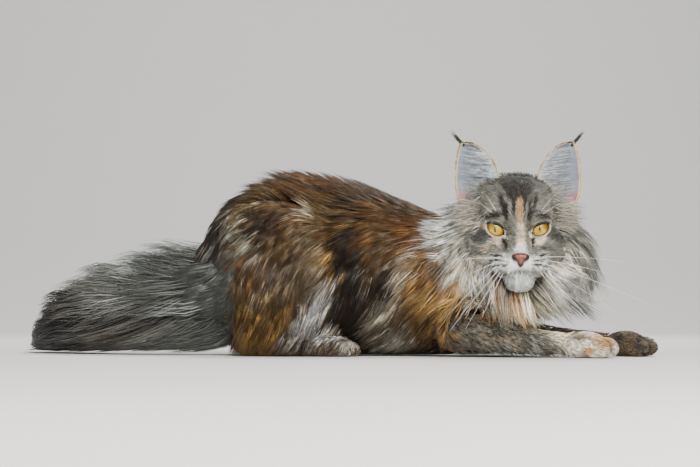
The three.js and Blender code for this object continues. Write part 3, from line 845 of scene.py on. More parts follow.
# Face, from the eye line: x and z as the viewer sees them, mm.
FACE = [
    (0, 64, 44, 28, 0, SMOKE, UMBER),
    (0, 42, 18, 14, 0, UMBER, BLACK),
    (-24, 38, 8, 16, 30, STEEL, UMBER),
    (24, 38, 8, 16, -30, STEEL, UMBER),
    (-30, 26, 13, 5, 28, 0x94917F, STEEL),
    (29, 26, 13, 5, -28, 0x94917F, STEEL),
    (-24, 14, 12, 4, 12, UMBER, STEEL),
    (24, 14, 12, 4, -12, UMBER, STEEL),
    (-17, 28, 2.2, 10, 14, UMBER, BLACK),
    (17, 27, 2.2, 10, -14, UMBER, BLACK),
    (-13, 17, 2.6, 13, 4, BLACK, UMBER),
    (11, 16, 2.4, 12, -4, BLACK, UMBER),
    (-5.5, 25, 1.8, 12, 2, UMBER, BLACK),
    (6.5, 24, 1.6, 10, -3, UMBER, BLACK),
    (-9, 21, 1.8, 8, 0, STEEL, SILVER),
    (1.5, 15, 3.6, 17, 0, 0xA98A62, PEACH),
    (1.0, -8, 4.5, 14, 0, CREAM, PEACH),
    (0.5, -21, 8, 6, 0, WHITE, WHITE),
    (-9, -6, 4, 14, 6, STEEL, BROWN),
    (10, -6, 4, 14, -6, STEEL, BROWN),
    (-23, -11, 11, 4, -18, CREAM, PEACH),
    (22, -11, 11, 4, 18, CREAM, WHITE),
    (-15, -5, 3, 6, 20, CREAM, WHITE),
    (14, -5, 3, 6, -20, CREAM, WHITE),
    (-34, 3, 6, 3, 30, PEACH, CREAM),
    (-14.5, -14, 2.4, 6, 14, BLACK, UMBER),
    (14, -13, 2.4, 6, -14, BLACK, UMBER),
    (-36, -6, 14, 7, 10, SMOKE, UMBER),
    (40, -5, 17, 8, -8, SMOKE, UMBER),
    (-56, 2, 12, 12, 0, STEEL, SILVER),
    (60, 4, 12, 14, 0, STEEL, SMOKE),
    (-31, -20, 10, 4, -10, TAUPE, CREAM),
    (31, -19, 12, 6, 10, STEEL, UMBER),
    (-55, -13, 8, 4, 0, FROST, SILVER),
    (53, -22, 8, 4, -15, CREAM, SILVER),
    (-58, -25, 11, 3.4, -38, PEACH, CREAM),
    (-42, -29, 12, 3.4, -14, CREAM, SILVER),
    (-48, -41, 18, 8, -14, CREAM, WHITE),
    (46, -40, 16, 9, 20, CREAM, SILVER),
    (60, -14, 6, 10, 0, SMOKE, UMBER),
    (0, -34, 20, 9, 0, WHITE, WHITE),
    (-22, -33, 12, 9, 0, WHITE, SILVER),
    (22, -33, 12, 9, 0, WHITE, SILVER),
    (0, -44, 10, 2.6, 0, STEEL, SILVER),
    (-12, -46, 9, 1.8, 5, SMOKE, STEEL),
    (12, -46, 9, 1.8, -5, SMOKE, STEEL),
    (0, -54, 19, 10, 0, FROST, WHITE),
    (-22, -26.5, 7, 1.1, -8, BLACK, UMBER),
    (22, -26.5, 7, 1.1, 8, BLACK, UMBER),
    (-21, -31.5, 8, 1.1, -4, UMBER, BLACK),
    (21, -31.5, 8, 1.1, 4, UMBER, BLACK),
    (-20, -36.5, 8, 1.0, 4, UMBER, BLACK),
    (20, -36.5, 8, 1.0, -4, UMBER, BLACK),
]

# Ruff and chest, seen from the front like the face.
RUFF = [
    (-68, 26, 10, 22, -12, FROST, STEEL),
    (-84, 0, 18, 6, -16, FROST, SILVER),
    (-84, -20, 18, 5, -20, FROST, TAUPE),
    (-62, -14, 16, 16, 0, SILVER, SMOKE),
    (-77, -42, 10, 10, 0, SMOKE, UMBER),
    (-50, -42, 18, 9, -14, CREAM, WHITE),
    (-50, -60, 20, 10, 24, CREAM, STEEL),
    (-66, -66, 10, 10, 0, SMOKE, UMBER),
    (-22, -62, 16, 14, 20, WHITE, TAUPE),
    (-28, -84, 22, 7, 6, RUST, PEACH),
    (-36, -72, 16, 7, 10, CREAM, TAUPE),
    (-4, -78, 9, 14, 0, CREAM, TAUPE),
    (8, -90, 16, 9, -30, PEACH, RUST),
    (16, -70, 22, 12, -32, CREAM, TAUPE),
    (0, -60, 22, 7, 0, WHITE, CREAM),
    (32, -54, 14, 12, 0, WHITE, WHITE),
    (-34, -54, 14, 10, 0, WHITE, CREAM),
    (24, -97, 18, 6, -20, CREAM, PEACH),
    (48, -50, 19, 18, -20, WHITE, WHITE),
    (60, -84, 18, 11, -20, SMOKE, SILVER),
    (67, -40, 7, 22, 0, SILVER, CREAM),
    (80, -36, 10, 30, 0, SMOKE, STEEL),
    (76, 20, 10, 24, 12, SILVER, SMOKE),
    (62, 45, 18, 14, 0, STEEL, SILVER),
    (62, -4, 12, 16, 0, SMOKE, STEEL),
]


def paint(flat, ground, patches, noise, soft):
    """Main and mixed-in colours at places in a plane, over a ground colour pair."""
    main = np.tile(linear(ground[0]), (len(flat), 1))
    second = np.tile(linear(ground[1]), (len(flat), 1))
    for x, z, a, b, turn, colour, other in patches:
        c, s = math.cos(math.radians(turn)), math.sin(math.radians(turn))
        away = flat - [x, z]
        along, across = away @ [c, s] / a, away @ [-s, c] / b
        reach = np.sqrt(along**2 + across**2) + noise * 0.3
        w = (1 - step(1 - soft, 1 + soft, reach))[:, None]
        main = mix(main, linear(colour), w)
        second = mix(second, linear(other), w)
    return main, second


def markings(points, owner):
    """The coat's main and mixed-in colours at points of the skin, each (n, 3) and linear."""
    points = np.asarray(points, dtype=float)
    n = len(points)
    main, second = np.zeros((n, 3)), np.zeros((n, 3))
    coarse = waves(points, 26, 5)
    fine = waves(points, 9, 6)
    noise = coarse * 0.6 + fine * 0.7
    local = points - EYE_LINE

    def put(where, pair):
        main[where], second[where] = pair

    names = np.array(NAMES)[owner]
    trunk = np.isin(names, ["torso", "thigh_right", "thigh_left", "hind_foot_right", "hind_foot_left"])
    trunk |= np.isin(names, ["hind_paw_right", "hind_paw_left"])
    if trunk.any():
        p = points[trunk]
        flat = p[:, [0, 2]]
        streaks = hair_streaks(p)
        near = paint(flat, (BROWN, UMBER), FLANK, noise[trunk] + streaks, 0.5)
        far = paint(flat, (BROWN, UMBER), FAR_FLANK, noise[trunk] + streaks, 0.5)
        w = step(-16, 16, p[:, 1] - spine_y(p[:, 0]) - 18)[:, None]
        plume = tail_colours(p, noise[trunk])
        base = tail_base(p)[:, None]
        light = np.exp(0.3 * streaks)[:, None]
        put(trunk, [mix(mix(a, b, w) * light, c, base) for a, b, c in zip(near, far, plume)])
    neck = names == "neck"
    if neck.any():
        put(neck, ruff_colours(points[neck], local[neck], noise[neck]))
    head = np.isin(names, ["head", "lids"])
    if head.any():
        face = paint(local[head][:, [0, 2]], (0x7F7E74, 0xA3A192), FACE, fine[head] * 0.5, 0.35)
        ruff = ruff_colours(points[head], local[head], noise[head])
        x, y, z = np.abs(local[head][:, 0]), local[head][:, 1], local[head][:, 2]
        w = step(20, 55, y) * (1 - 0.9 * step(8, 34, z))
        w = np.maximum(w, np.maximum(step(57, 66, -z), step(34, 50, -z) * step(30, 44, x)))[:, None]
        put(head, [mix(a, b, w) for a, b in zip(face, ruff)])
    for side, name in EARS:
        ear = names == name
        if ear.any():
            put(ear, ear_colours(local[ear], side))
    tail = names == "tail"
    if tail.any():
        put(tail, tail_colours(points[tail], noise[tail]))
    for name in ("foreleg_right", "foreleg_left", "front_paw_right", "front_paw_left"):
        here = names == name
        if here.any():
            put(here, leg_colours(points[here], name, fine[here]))
    return main, second


def hair_streaks(points):
    """Noise drawn out along the lie of the coat, down and back."""
    along = points @ np.array([0.74, 0, 0.67])
    across = points @ np.array([-0.67, 0, 0.74])
    return waves(np.stack([along * 0.22, across, points[:, 1] * 0.4], 1), 6.5, 57)


def ruff_colours(points, local, noise):
    front = paint(local[:, [0, 2]], (SILVER, STEEL), RUFF, noise, 0.4)
    nape = [np.tile(linear(c), (len(points), 1)) for c in (BROWN, UMBER)]
    w = step(35, 70, local[:, 1])[:, None] * step(-10, 25, local[:, 2])[:, None]
    # The collar ends along a line that falls from beside the cheek to the elbow.
    below = (local[:, [0, 2]] + [101, 2]) @ [-0.845, -0.534] + noise * 6
    low = step(50, 85, local[:, 1]) * (1 - step(-30, 20, local[:, 2]))
    low = np.maximum(low, step(-5, 7, below))[:, None]
    flank = paint(points[:, [0, 2]], (RUST, UMBER), FLANK, noise + hair_streaks(points), 0.5)
    # Painted light: the throat under the chin is painted brighter to make up for the chin's shadow, and the
    # whole front a little brighter too.
    front = [colour * (1.15 + 0.2 * throat_at(local))[:, None] for colour in front]
    return [mix(mix(a, b, w), c, low) for a, b, c in zip(front, nape, flank)]


def ear_colours(local, side):
    x = np.abs(local[:, 0] - ear_shift(side))
    z = local[:, 2]
    inner, outer = ear_edges(z)
    u = (x - inner) / np.maximum(outer - inner, 1)
    behind = local[:, 1] - ear_cup(u, z)
    inside = np.tile(linear(0x8C93A0), (len(local), 1))
    inside = mix(inside, linear(0xC08C8E), (1 - step(30, 46, z))[:, None])
    inside = mix(inside, linear(0x7F8894), (step(52, 78, z) * 0.6)[:, None])
    mottled = waves(np.stack([x * 0.3, z, x * 0], 1), 4, 61)
    inside = inside * (1 + 0.13 * mottled)[:, None]
    edge = np.minimum(u, 1 - u) * (outer - inner)
    rim = (1 - step(0.3, 1.2, np.minimum(edge, (EAR_TOP - z) * 0.8)))[:, None]
    inside = mix(inside, linear(0xD8BE8C), rim)
    back = mix(linear(BROWN), linear(UMBER), step(30, 70, z)[:, None]) * (1 + 0.2 * mottled)[:, None]
    w = step(0.9, 1.6, behind)[:, None]
    main = mix(inside, back, w)
    return main, main * 0.85


def tail_colours(points, noise):
    """Cool grey in long streaks, browner in the middle, black at the tip, with painted shade on the
    underside.
    """
    s, angle = LIMBS["tail"].locate(points)[:2]
    round_it = np.stack([s * 40, np.cos(angle) * 30, np.sin(angle) * 30], 1)
    streak = waves(round_it, 16, 31)
    under = 1 - step(-0.7, 0.3, np.sin(angle))
    main = np.tile(linear(0x6B6E69), (len(points), 1))
    # Painted shade: on the underside, which faces the floor, the pale streaks are fainter.
    pale = step(-0.2, 0.6, -streak) * step(0.02, 0.2, s) * (1 - step(0.4, 0.8, s)) * (1 - 0.4 * under)
    main = mix(main, linear(0xA0A5A0), pale[:, None])
    main = mix(main, linear(0x474943), step(0.0, 0.6, streak)[:, None] * 0.8)
    # Painted shade: the underside darkened towards the floor.
    main = mix(main, linear(0x33312B), (under * step(0.1, 0.5, s) * 0.8)[:, None])
    warm = step(0.35, 0.75, s) * (1 - under)
    main = mix(main, linear(0x6A6152), warm[:, None] * 0.6)
    tan = step(0.2, 0.8, noise) * step(0.3, 0.55, s) * under
    main = mix(main, linear(BROWN), tan[:, None] * 0.5)
    dark = step(0.68, 0.88, s + 0.13 * under + noise * 0.03)
    main = mix(main, linear(BLACK), dark[:, None])
    second = mix(linear(SMOKE), linear(BLACK), dark[:, None] * 0.9) * np.ones((len(points), 1))
    return main, second


def toe_gap_shade(points, name):
    """Painted shade: dark in the three gaps between the toes, 1 elsewhere."""
    at, ahead, beside, size = paw_place(name)
    forward, across = (points - at) @ ahead / size, np.abs((points - at) @ beside / size)
    nearest = np.minimum(across, np.abs(across - 9))
    return (1 - 0.75 * np.exp(-((nearest / 1.3) ** 2)) * step(13, 20, forward))[:, None]


# The near paw, seen from the right like the flank.
PAW_BLOTS = [
    (246, 16, 12, 8, 0, 0xCE9C68, CREAM),
    (231, 7, 6, 5, 0, 0xCE9C68, CREAM),
    (222, 22, 10, 5, 0, TAUPE, CREAM),
]


def leg_colours(points, name, fine):
    if name == "front_paw_right":
        pair = paint(points[:, [0, 2]], (0xEDE6D6, CREAM), PAW_BLOTS, fine, 0.4)
        return [colour * toe_gap_shade(points, name) for colour in pair]
    near = name == "foreleg_right"
    main = np.tile(linear(STEEL if near else TAUPE), (len(points), 1))
    main = mix(main, linear(TAUPE if near else BROWN), step(-0.5, 0.4, waves(points, 18, 41))[:, None] * 0.8)
    bars = np.sin(points[:, 0] * (2 * math.pi / 24) + fine * 1.2 + points[:, 2] * 0.05)
    main = mix(main, linear(UMBER), step(0.2, 1.0, bars)[:, None] * (0.65 if near else 0.9))
    if near:
        upper = 1 - step(96, 140, points[:, 0] + fine * 8)
        elbow_brown = mix(linear(BROWN), linear(UMBER), step(-0.3, 0.4, fine)[:, None])
        main = mix(main, elbow_brown, upper[:, None] * 0.8)
        behind = 1 - step(88, 104, points[:, 0] + fine * 6)
        elbow_gold = mix(linear(GOLD), linear(DEEP), step(-0.1, 0.5, fine)[:, None])
        main = mix(main, elbow_gold, behind[:, None])
        main = mix(main, linear(CREAM), step(200, 218, points[:, 0] + points[:, 2] * 0.6)[:, None])
    else:
        main = main * 0.8
    if name in PAWS:
        main = main * toe_gap_shade(points, name)
    return main, mix(main, linear(SMOKE), 0.3)


# Materials.


def add_node(tree, kind, links=None, **settings):
    """A node of a material: properties or unlinked inputs from settings, linked inputs from links."""
    node = tree.nodes.new(kind)
    for key, value in settings.items():
        if key in node.inputs:
            node.inputs[key].default_value = value
        else:
            setattr(node, key, value)
    for key, socket in (links or {}).items():
        tree.links.new(socket, node.inputs[key])
    return node


def fresh_material(name):
    material = bpy.data.materials.new(name)
    material.use_nodes = True
    material.node_tree.nodes.clear()
    return material, material.node_tree


def texture(tree, kind, **settings):
    """A texture in the piece's own space, so that it needs no unwrap."""
    place = add_node(tree, "ShaderNodeTexCoord")
    return add_node(tree, kind, {"Vector": place.outputs["Object"]}, **settings)


def painted(tree):
    """The markings that the mesh carries."""
    return add_node(tree, "ShaderNodeAttribute", attribute_name="coat_colour").outputs["Color"]


def relief(tree, height, strength, distance, invert=False):
    settings = {"Strength": strength, "Distance": distance, "invert": invert}
    return add_node(tree, "ShaderNodeBump", {"Height": height}, **settings).outputs["Normal"]


def finished(material, links, **settings):
    """The material with its one shader on the output. Constant values stand on the shader's sockets."""
    tree = material.node_tree
    settings = {key.replace("_", " "): value for key, value in settings.items()}
    shader = add_node(tree, "ShaderNodeBsdfPrincipled", links, **settings)
    add_node(tree, "ShaderNodeOutputMaterial", {"Surface": shader.outputs["BSDF"]})
    return material


def fur_material(name, roughness, specular, sheen):
    """Cat's guard hair: smooth overlapping scales give each hair a soft gloss along its length."""
    material, tree = fresh_material(name)
    # Hairs gather in strands a few millimetres wide, each a little lighter or darker than the next.
    strands = texture(tree, "ShaderNodeTexNoise", Scale=260, Detail=3, Roughness=0.6)
    span = {"From Min": 0.3, "From Max": 0.7, "To Min": 0.78, "To Max": 1.22}
    tone = add_node(tree, "ShaderNodeMapRange", {"Value": strands.outputs["Fac"]}, **span)
    factors = {0: painted(tree), 1: tone.outputs["Result"]}
    shaded = add_node(tree, "ShaderNodeVectorMath", factors, operation="MULTIPLY")
    scales = texture(tree, "ShaderNodeTexNoise", Scale=1400, Detail=2)
    normal = relief(tree, scales.outputs["Fac"], 0.25, 0.0004)
    links = {"Base Color": shaded.outputs["Vector"], "Normal": normal}
    return finished(
        material,
        links,
        Roughness=roughness,
        Specular_IOR_Level=specular,
        Sheen_Weight=sheen,
        Sheen_Roughness=0.4,
        IOR=1.55,
    )


def skin_material():
    """Skin under short dense underfur: matt, with fine strokes where the hairs lie."""
    material, tree = fresh_material("underfur_skin")
    down = texture(tree, "ShaderNodeTexNoise", Scale=700, Detail=4, Roughness=0.7)
    normal = relief(tree, down.outputs["Fac"], 0.6, 0.0008)
    links = {"Base Color": painted(tree), "Normal": normal}
    return finished(material, links, Roughness=0.75, Specular_IOR_Level=0.3, Sheen_Weight=0.15)


def eye_material():
    """Golden iris under a wet cornea: the clear coat stands for the tear film, smooth as glass."""
    material, tree = fresh_material("wet_golden_eye")
    return finished(
        material,
        {"Base Color": painted(tree)},
        Roughness=0.35,
        Specular_IOR_Level=0.15,
        IOR=1.376,
        Coat_Weight=1.0,
        Coat_Roughness=0.015,
        Coat_IOR=1.376,
    )


def nose_material():
    """Nose leather: bare skin in small pebbles under a millimetre across, slightly moist."""
    material, tree = fresh_material("moist_nose_leather")
    pebbles = texture(tree, "ShaderNodeTexVoronoi", Scale=1300)
    normal = relief(tree, pebbles.outputs["Distance"], 0.35, 0.0003, True)
    links = {"Base Color": painted(tree), "Normal": normal}
    return finished(
        material, links, Roughness=0.38, Specular_IOR_Level=0.5, Coat_Weight=0.25, Coat_Roughness=0.2
    )


def mottled_material(name, low, high, noise, **settings):
    """A plain surface whose colour wanders a little between two values."""
    material, tree = fresh_material(name)
    grain = texture(tree, "ShaderNodeTexNoise", **noise)
    tone = add_node(tree, "ShaderNodeMix", {"Factor": grain.outputs["Fac"]}, data_type="RGBA")
    tone.inputs["A"].default_value = (*linear(low), 1)
    tone.inputs["B"].default_value = (*linear(high), 1)
    return finished(material, {"Base Color": tone.outputs["Result"]}, **settings)


def whisker_material():
    """Whiskers: stiff smooth keratin, white and slightly glossy."""
    return mottled_material("keratin_whisker", 0xE8E4DC, 0xFFFFFF, {"Scale": 300}, Roughness=0.3, IOR=1.55)


def floor_material():
    """Seamless studio paper: flat white with a trace of grain."""
    grain = {"Scale": 900, "Detail": 2}
    return mottled_material("studio_paper", 0xC9C7C4, 0xCFCDCA, grain, Roughness=0.85)


# The coat.


class Coat:
    """How the hair of one region grows. Lengths in mm, angles in radians."""

    hold = 0.9  # 1 keeps close to the skin's shape, 0 runs straight on
    droop = 2.0
    gather = 0.6  # how far a lock's tips come together
    lock = 9.0  # hairs in a lock
    stray = 0.22
    rings = 3
    flat = 0.6
    tone = 0.16
    mixed = 0.35
    # Painted shade: how dark each hair is painted at its root, where the hairs shade one another; partly
    # also the hair's own banding.
    painted_root_shade = 0.5
    blur = 4.0  # how far markings run into each other, mm
    ears = False
    loose = None  # 1 where hair leaves the skin and runs on by itself

    def __init__(self, flow, length, width, rise, **more):
        self.flow = flow
        self.length = length
        self.width = width
        self.rise = rise
        self.trace = trace
        for key, value in more.items():
            setattr(self, key, value)


def trace(coat, roots, normals, turn, scale):
    """Paths of hairs from their roots: (n, rings + 1, 3)."""
    body = skin()
    steps = coat.rings
    at, normal = roots.copy(), normals.copy()
    path = [roots - normals * 0.6]
    length = coat.length(roots) * scale
    rise = coat.rise(roots) * np.sqrt(scale)
    loose = coat.loose(roots)[:, None] if coat.loose else 0.0
    for k in range(1, steps + 1):
        t = k / steps
        way = coat.flow(at, normal)
        way = unit(way - normal * dot(way, normal) * (1 - loose))
        way = turned(way, normal, turn)
        slope = (rise / length * 1.15)[:, None] * (1 - loose)
        ahead = at + unit(way + normal * slope) * (length / steps)[:, None]
        spot, found = body.nearest(ahead, coat.ears)
        height = dot(ahead - spot, found)
        wanted = (rise * (1 - (1 - t) ** 1.6))[:, None] + 0.4
        free = ahead + found * np.maximum(mix(wanted * 0.6, 0.4, loose) - height, 0)
        at = mix(free, spot + found * wanted, coat.hold * (1 - loose))
        at[:, 2] -= coat.droop * scale * (t * t - ((k - 1) / steps) ** 2)
        at[:, 2] = np.maximum(at[:, 2], FLOOR_GAP + 0.5 + 0.8 * (1 - t))
        normal = found
        path.append(at.copy())
    path = np.stack(path, axis=1)
    if steps > 2:
        path[:, 1:-1] = path[:, 1:-1] * 0.6 + (path[:, :-2] + path[:, 2:]) * 0.2
    return path


def gather(coat, roots, normals, random):
    """Roots grouped into locks: the paths, each hair's lock and the locks' own random numbers."""
    count = len(roots)
    seeds = random.permutation(count)[: max(8, int(count / coat.lock))]
    tree = KDTree(len(seeds))
    for i, p in enumerate(roots[seeds].tolist()):
        tree.insert(p, i)
    tree.balance()
    mine = np.array([tree.find(p)[1] for p in roots.tolist()])
    luck = random.normal(size=(len(seeds), 4))
    turn = luck[:, 0] * coat.stray
    scale = np.exp(luck[:, 1] * 0.12)
    lead = coat.trace(coat, roots[seeds], normals[seeds], turn, scale)
    own_turn = turn[mine] + random.normal(size=count) * coat.stray * 0.35
    own_scale = scale[mine] * np.exp(random.normal(size=count) * 0.12)
    paths = coat.trace(coat, roots, normals, own_turn, own_scale)
    t = np.linspace(0, 1, paths.shape[1])[None, :, None]
    pull = coat.gather * t**1.2 * random.uniform(0.5, 1.15, (count, 1, 1))
    paths = mix(paths, lead[mine], np.clip(pull, 0, 0.95))
    paths[:, :, 2] = np.maximum(paths[:, :, 2], FLOOR_GAP + 0.3)
    return paths, mine, luck


def tuft_mesh(name, paths, normals, widths, flat, colours, uv):
    """Solid three-sided hairs along the paths, one joined mesh. colours: (n, rings + 1, 3)."""
    count, rows, _ = paths.shape
    rings = rows - 1
    along = unit(np.gradient(paths, axis=1))
    across = unit(np.cross(along, normals[:, None]))
    out = np.cross(across, along)
    t = np.arange(rings) / rings
    taper = np.interp(t, [0, 0.3, 0.6, 1], [0.75, 1, 0.85, 0.3])
    half = widths[:, None] * 0.5 * taper[None]
    corners = []
    for angle in (0.5 * math.pi, 1.1667 * math.pi, 1.8333 * math.pi):
        wide = across[:, :rings] * (half * math.cos(angle))[..., None]
        thick = out[:, :rings] * (half * flat * math.sin(angle))[..., None]
        corners.append(paths[:, :rings] + wide + thick)
    rings_at = np.stack(corners, axis=2)  # tuft, ring, side, xyz
    points = np.concatenate([rings_at.reshape(count, rings * 3, 3), paths[:, -1:]], axis=1)
    size = rings * 3 + 1
    faces = [(0, 2, 1)]
    for k in range(rings - 1):
        for i in range(3):
            j = (i + 1) % 3
            a, b, c, d = k * 3 + i, k * 3 + j, k * 3 + 3 + i, k * 3 + 3 + j
            faces += [(a, b, d), (a, d, c)]
    last = (rings - 1) * 3
    faces += [(last + i, last + (i + 1) % 3, size - 1) for i in range(3)]
    pattern = np.array(faces)
    all_faces = (pattern[None] + (np.arange(count) * size)[:, None, None]).reshape(-1, 3)
    tint = np.concatenate([np.repeat(colours[:, :rings], 3, axis=1), colours[:, -1:]], axis=1)
    spread = np.zeros((size, 2))
    for k in range(rings):
        for i in range(3):
            spread[k * 3 + i] = ((i - 1) * 0.0012, (k / rings - 0.5) * 0.003)
    spread[-1] = (0, 0.0015)
    places = uv[:, None] + spread[None]
    corner_uv = places[:, pattern.ravel()].reshape(-1, 2)
    return new_object(name, points.reshape(-1, 3), all_faces, tint.reshape(-1, 3), corner_uv)


def grow(name, coat, weights, count, seed, material, pick=None):
    """One piece of the coat, rooted over the faces that the weights choose, or where pick puts it."""
    random = np.random.default_rng(seed)
    roots, normals, owner, uv = pick(random) if pick else skin().sample(weights, count, random)
    paths, mine, luck = gather(coat, roots, normals, random)
    widths = coat.width(roots) * np.exp(random.normal(size=count) * 0.22)
    # A hair shows in its outer half, so it takes the markings of the place that this half covers.
    astray = random.normal(size=(len(luck), 3))[mine] + random.normal(size=(count, 3)) * 0.6
    main, second = markings(mix(paths[:, -2], paths[:, -1], 0.3) + astray * coat.blur, owner)
    share = step(0.45, 0.75, 0.5 + 0.28 * luck[mine, 2] + 0.2 * random.normal(size=count) + coat.mixed - 0.5)
    tone = np.exp(luck[mine, 3] * coat.tone + random.normal(size=count) * coat.tone * 0.9)
    base = mix(main, second, (share * 0.9)[:, None]) * tone[:, None]
    t = np.linspace(0, 1, paths.shape[1])
    # Painted shade: each hair darker towards its root, where the hairs shade one another, and lighter
    # towards its tip; partly also the hair's own banding.
    shade = np.interp(t, [0, 0.35, 0.75, 1], [coat.painted_root_shade, 0.85, 1.08, 1.15])
    colours = base[:, None] * shade[None, :, None]
    dress(tuft_mesh(name, paths, normals, widths, coat.flat, colours, uv), material)


# The lie of the coat.


def constant(value):
    return lambda p: np.full(len(p), float(value))


DOWN = -UP
TRUNK_ALONG = unit(np.array([0.965, -0.262, -0.03]))


def tail_base(p):
    """1 where the plume of the tail starts on the back of the haunches, 0 further forwards."""
    beside = 1 - step(150, 172, p[:, 1])
    return (1 - step(-130, -112, p[:, 0])) * (1 - step(92, 112, p[:, 2])) * beside


def tail_way(p):
    """Along the tail, and in towards its axis from both sides."""
    inward = 0.2 + 0.45 * (1 - step(50, 100, p[:, 1])) - 0.6 * step(130, 170, p[:, 1])
    return unit(np.stack([np.full(len(p), -0.95), inward, np.full(len(p), -0.1)], 1)) * 1.5


def trunk_flow(p, normal):
    """Backwards along the trunk and down its sides, more so on the belly and shoulder."""
    low = 1 - step(40, 150, p[:, 2])
    front = step(-20, 90, p[:, 0])
    fall = (0.45 + 0.75 * low + 0.35 * front)[:, None]
    way = turned(-TRUNK_ALONG + DOWN * fall, normal, 0.3 * waves(p, 55, 91))
    return mix(way, tail_way(p), tail_base(p)[:, None])


def thigh_flow(p, normal):
    """Backwards and down over the haunch, straight down at the hock."""
    low = (1 - step(20, 130, p[:, 2]))[:, None]
    hock = low * (1 - step(-110, -55, p[:, :1]))
    way = -TRUNK_ALONG * (1 - 0.45 * low - 0.4 * hock) + DOWN * (0.8 + 0.7 * low + 0.6 * hock)
    outwards = np.array([0, -0.6, 0]) * (1 - step(30, 70, p[:, 2]))[:, None]
    way = turned(way, normal, 0.3 * waves(p, 50, 92)) + outwards
    return mix(way, tail_way(p), tail_base(p)[:, None])


def foot_flow(p, normal):
    way = -TRUNK_ALONG * 0.5 + DOWN * 0.8
    return mix(way, tail_way(p), tail_base(p)[:, None])


def ruff_flow(p, normal):
    """Outwards from the face like a collar, falling, and swept across the chest."""
    local = p - EYE_LINE
    middle = np.array([-8.0, 0, -12.0])
    away = local - middle
    away[:, 1] = 0
    away = unit(away)
    away[:, 2] = np.minimum(away[:, 2], -0.1)
    below = step(0, 60, -local[:, 2])[:, None]
    high = step(20, 60, local[:, 2])[:, None]
    back = np.array([-0.2, 1.0, 0])
    sweep = np.array([0.8, 0, 0]) * below * step(-25, 30, local[:, :1])
    forward = np.array([0, -1.1, 0]) * throat_at(local)[:, None]
    return away + back * (0.25 + 0.9 * high - 0.75 * below) + DOWN * (0.3 + 0.4 * below) + sweep + forward


def throat_at(local):
    """1 under the chin and on the front of the neck."""
    low = step(40, 52, -local[:, 2])
    return low * (1 - step(25, 42, np.abs(local[:, 0]))) * (1 - step(25, 48, local[:, 1]))


# The plume's outline about the tail's axis: place along it, reach upwards and reach sideways, mm.
PLUME = [
    (-0.1, 42, 34),
    (0.1, 54, 38),
    (0.25, 62, 40),
    (0.45, 60, 40),
    (0.62, 53, 38),
    (0.78, 45, 36),
    (0.92, 38, 33),
    (1.05, 28, 26),
    (1.16, 15, 15),
    (1.22, 5, 5),
]


def plume_reach(place, angle):
    """How far the plume's outline lies from the axis across and up, with its underside on the floor."""
    tail = LIMBS["tail"]
    table = np.array(PLUME)
    up = np.interp(place, table[:, 0], table[:, 1])
    beside = np.interp(place, table[:, 0], table[:, 2])
    floor = tail.frame_at(place)[0][:, 2] - FLOOR_GAP - 1
    down = np.maximum(np.minimum(floor, up * 1.25), 2)
    cosine, sine = np.cos(angle), np.sin(angle)
    flat_side = np.sign(cosine) * np.abs(cosine) ** np.where(sine < 0, 0.75, 1)
    flat_base = np.where(sine < 0, -np.sqrt(np.abs(sine)) * down, sine * up)
    return flat_side * beside, flat_base


def plume_trace(coat, roots, normals, turn, scale):
    """Hairs run along the tail's axis and fan out to the plume's outline, where they lie flat."""
    tail = LIMBS["tail"]
    angle, near = tail.locate(roots)[1::2]
    place = tail.s[near] + np.sum((roots - tail.at[near]) * tail.along[near], axis=1) / tail.length
    offset = roots - tail.frame_at(place)[0]
    fill = np.clip(0.9 + (scale - 1) * 1.0, 0.4, 1.24)
    path = [roots]
    for k in range(1, coat.rings + 1):
        t = k / coat.rings
        there = place + coat.length(roots) * scale * t / tail.length
        at, side, lift = tail.frame_at(there)
        across, up = plume_reach(there, angle + turn * t)
        up = up * np.where(up < 0, fill**0.2, fill)
        target = side * (across * fill)[:, None] + lift * up[:, None]
        at = at + mix(offset, target, 1 - (1 - t) ** 1.8)
        at[:, 2] = np.maximum(at[:, 2], HAIR_GAP)
        path.append(at)
    return np.stack(path, axis=1)


def plume_roots(count):
    """Roots round the tail, and some at its base inside the haunches, from where the plume starts wide."""

    def pick(random):
        tail = LIMBS["tail"]
        place = random.uniform(-0.14, 0.97, count)
        angle = random.uniform(0, 2 * math.pi, count)
        at, side, lift = tail.frame_at(place)
        across, up = plume_reach(place, angle)
        thick = mix(random.uniform(0.3, 0.85, count), 0.3, step(-0.02, 0.08, place))
        normals = side * across[:, None] + lift * up[:, None]
        roots = at + normals * thick[:, None]
        roots[:, 2] = np.maximum(roots[:, 2], HAIR_GAP)
        cell = PARTS.index("tail")
        uv = atlas(np.full(count, cell), angle / (2 * math.pi), np.clip(place, 0, 1))
        return roots, unit(normals), np.full(count, cell), uv

    return pick


def elbow(name, p):
    """1 at the elbow, where the hair hangs backwards in a fringe, 0 from the forearm on."""
    return 1 - step(0.1, 0.3, LIMBS[name].locate(p)[0])


def leg_flow(name):
    limb = LIMBS[name]

    def flow(p, normal):
        back = elbow(name, p)[:, None]
        return mix(limb.along[limb.locate(p)[3]], np.array([-0.9, 0, -0.35]), back) + DOWN * 0.25

    return flow


def paw_flow(name):
    ahead = paw_place(name)[1]
    return lambda p, normal: np.tile(ahead, (len(p), 1)) + DOWN * 0.4


def face_flow(p, normal):
    """Away from the nose: up the brow, out over the cheeks, down the chin."""
    local = p - EYE_LINE
    away = local - np.array([0, -44.0, -26.0])
    side = np.sign(local[:, :1]) * np.minimum(np.abs(local[:, :1]) / 25, 1)
    chin = (1 - step(-52, -38, local[:, 2]))[:, None]
    out = np.concatenate([side, np.zeros((len(p), 2))], axis=1)
    return unit(away) + out * 0.5 + DOWN * chin * 0.9 + np.array([0, 0.3, 0])


def owners(*names):
    body = skin()
    return np.isin(body.face_owner, [PARTS.index(n) for n in names]).astype(float)


# Settings and operators.


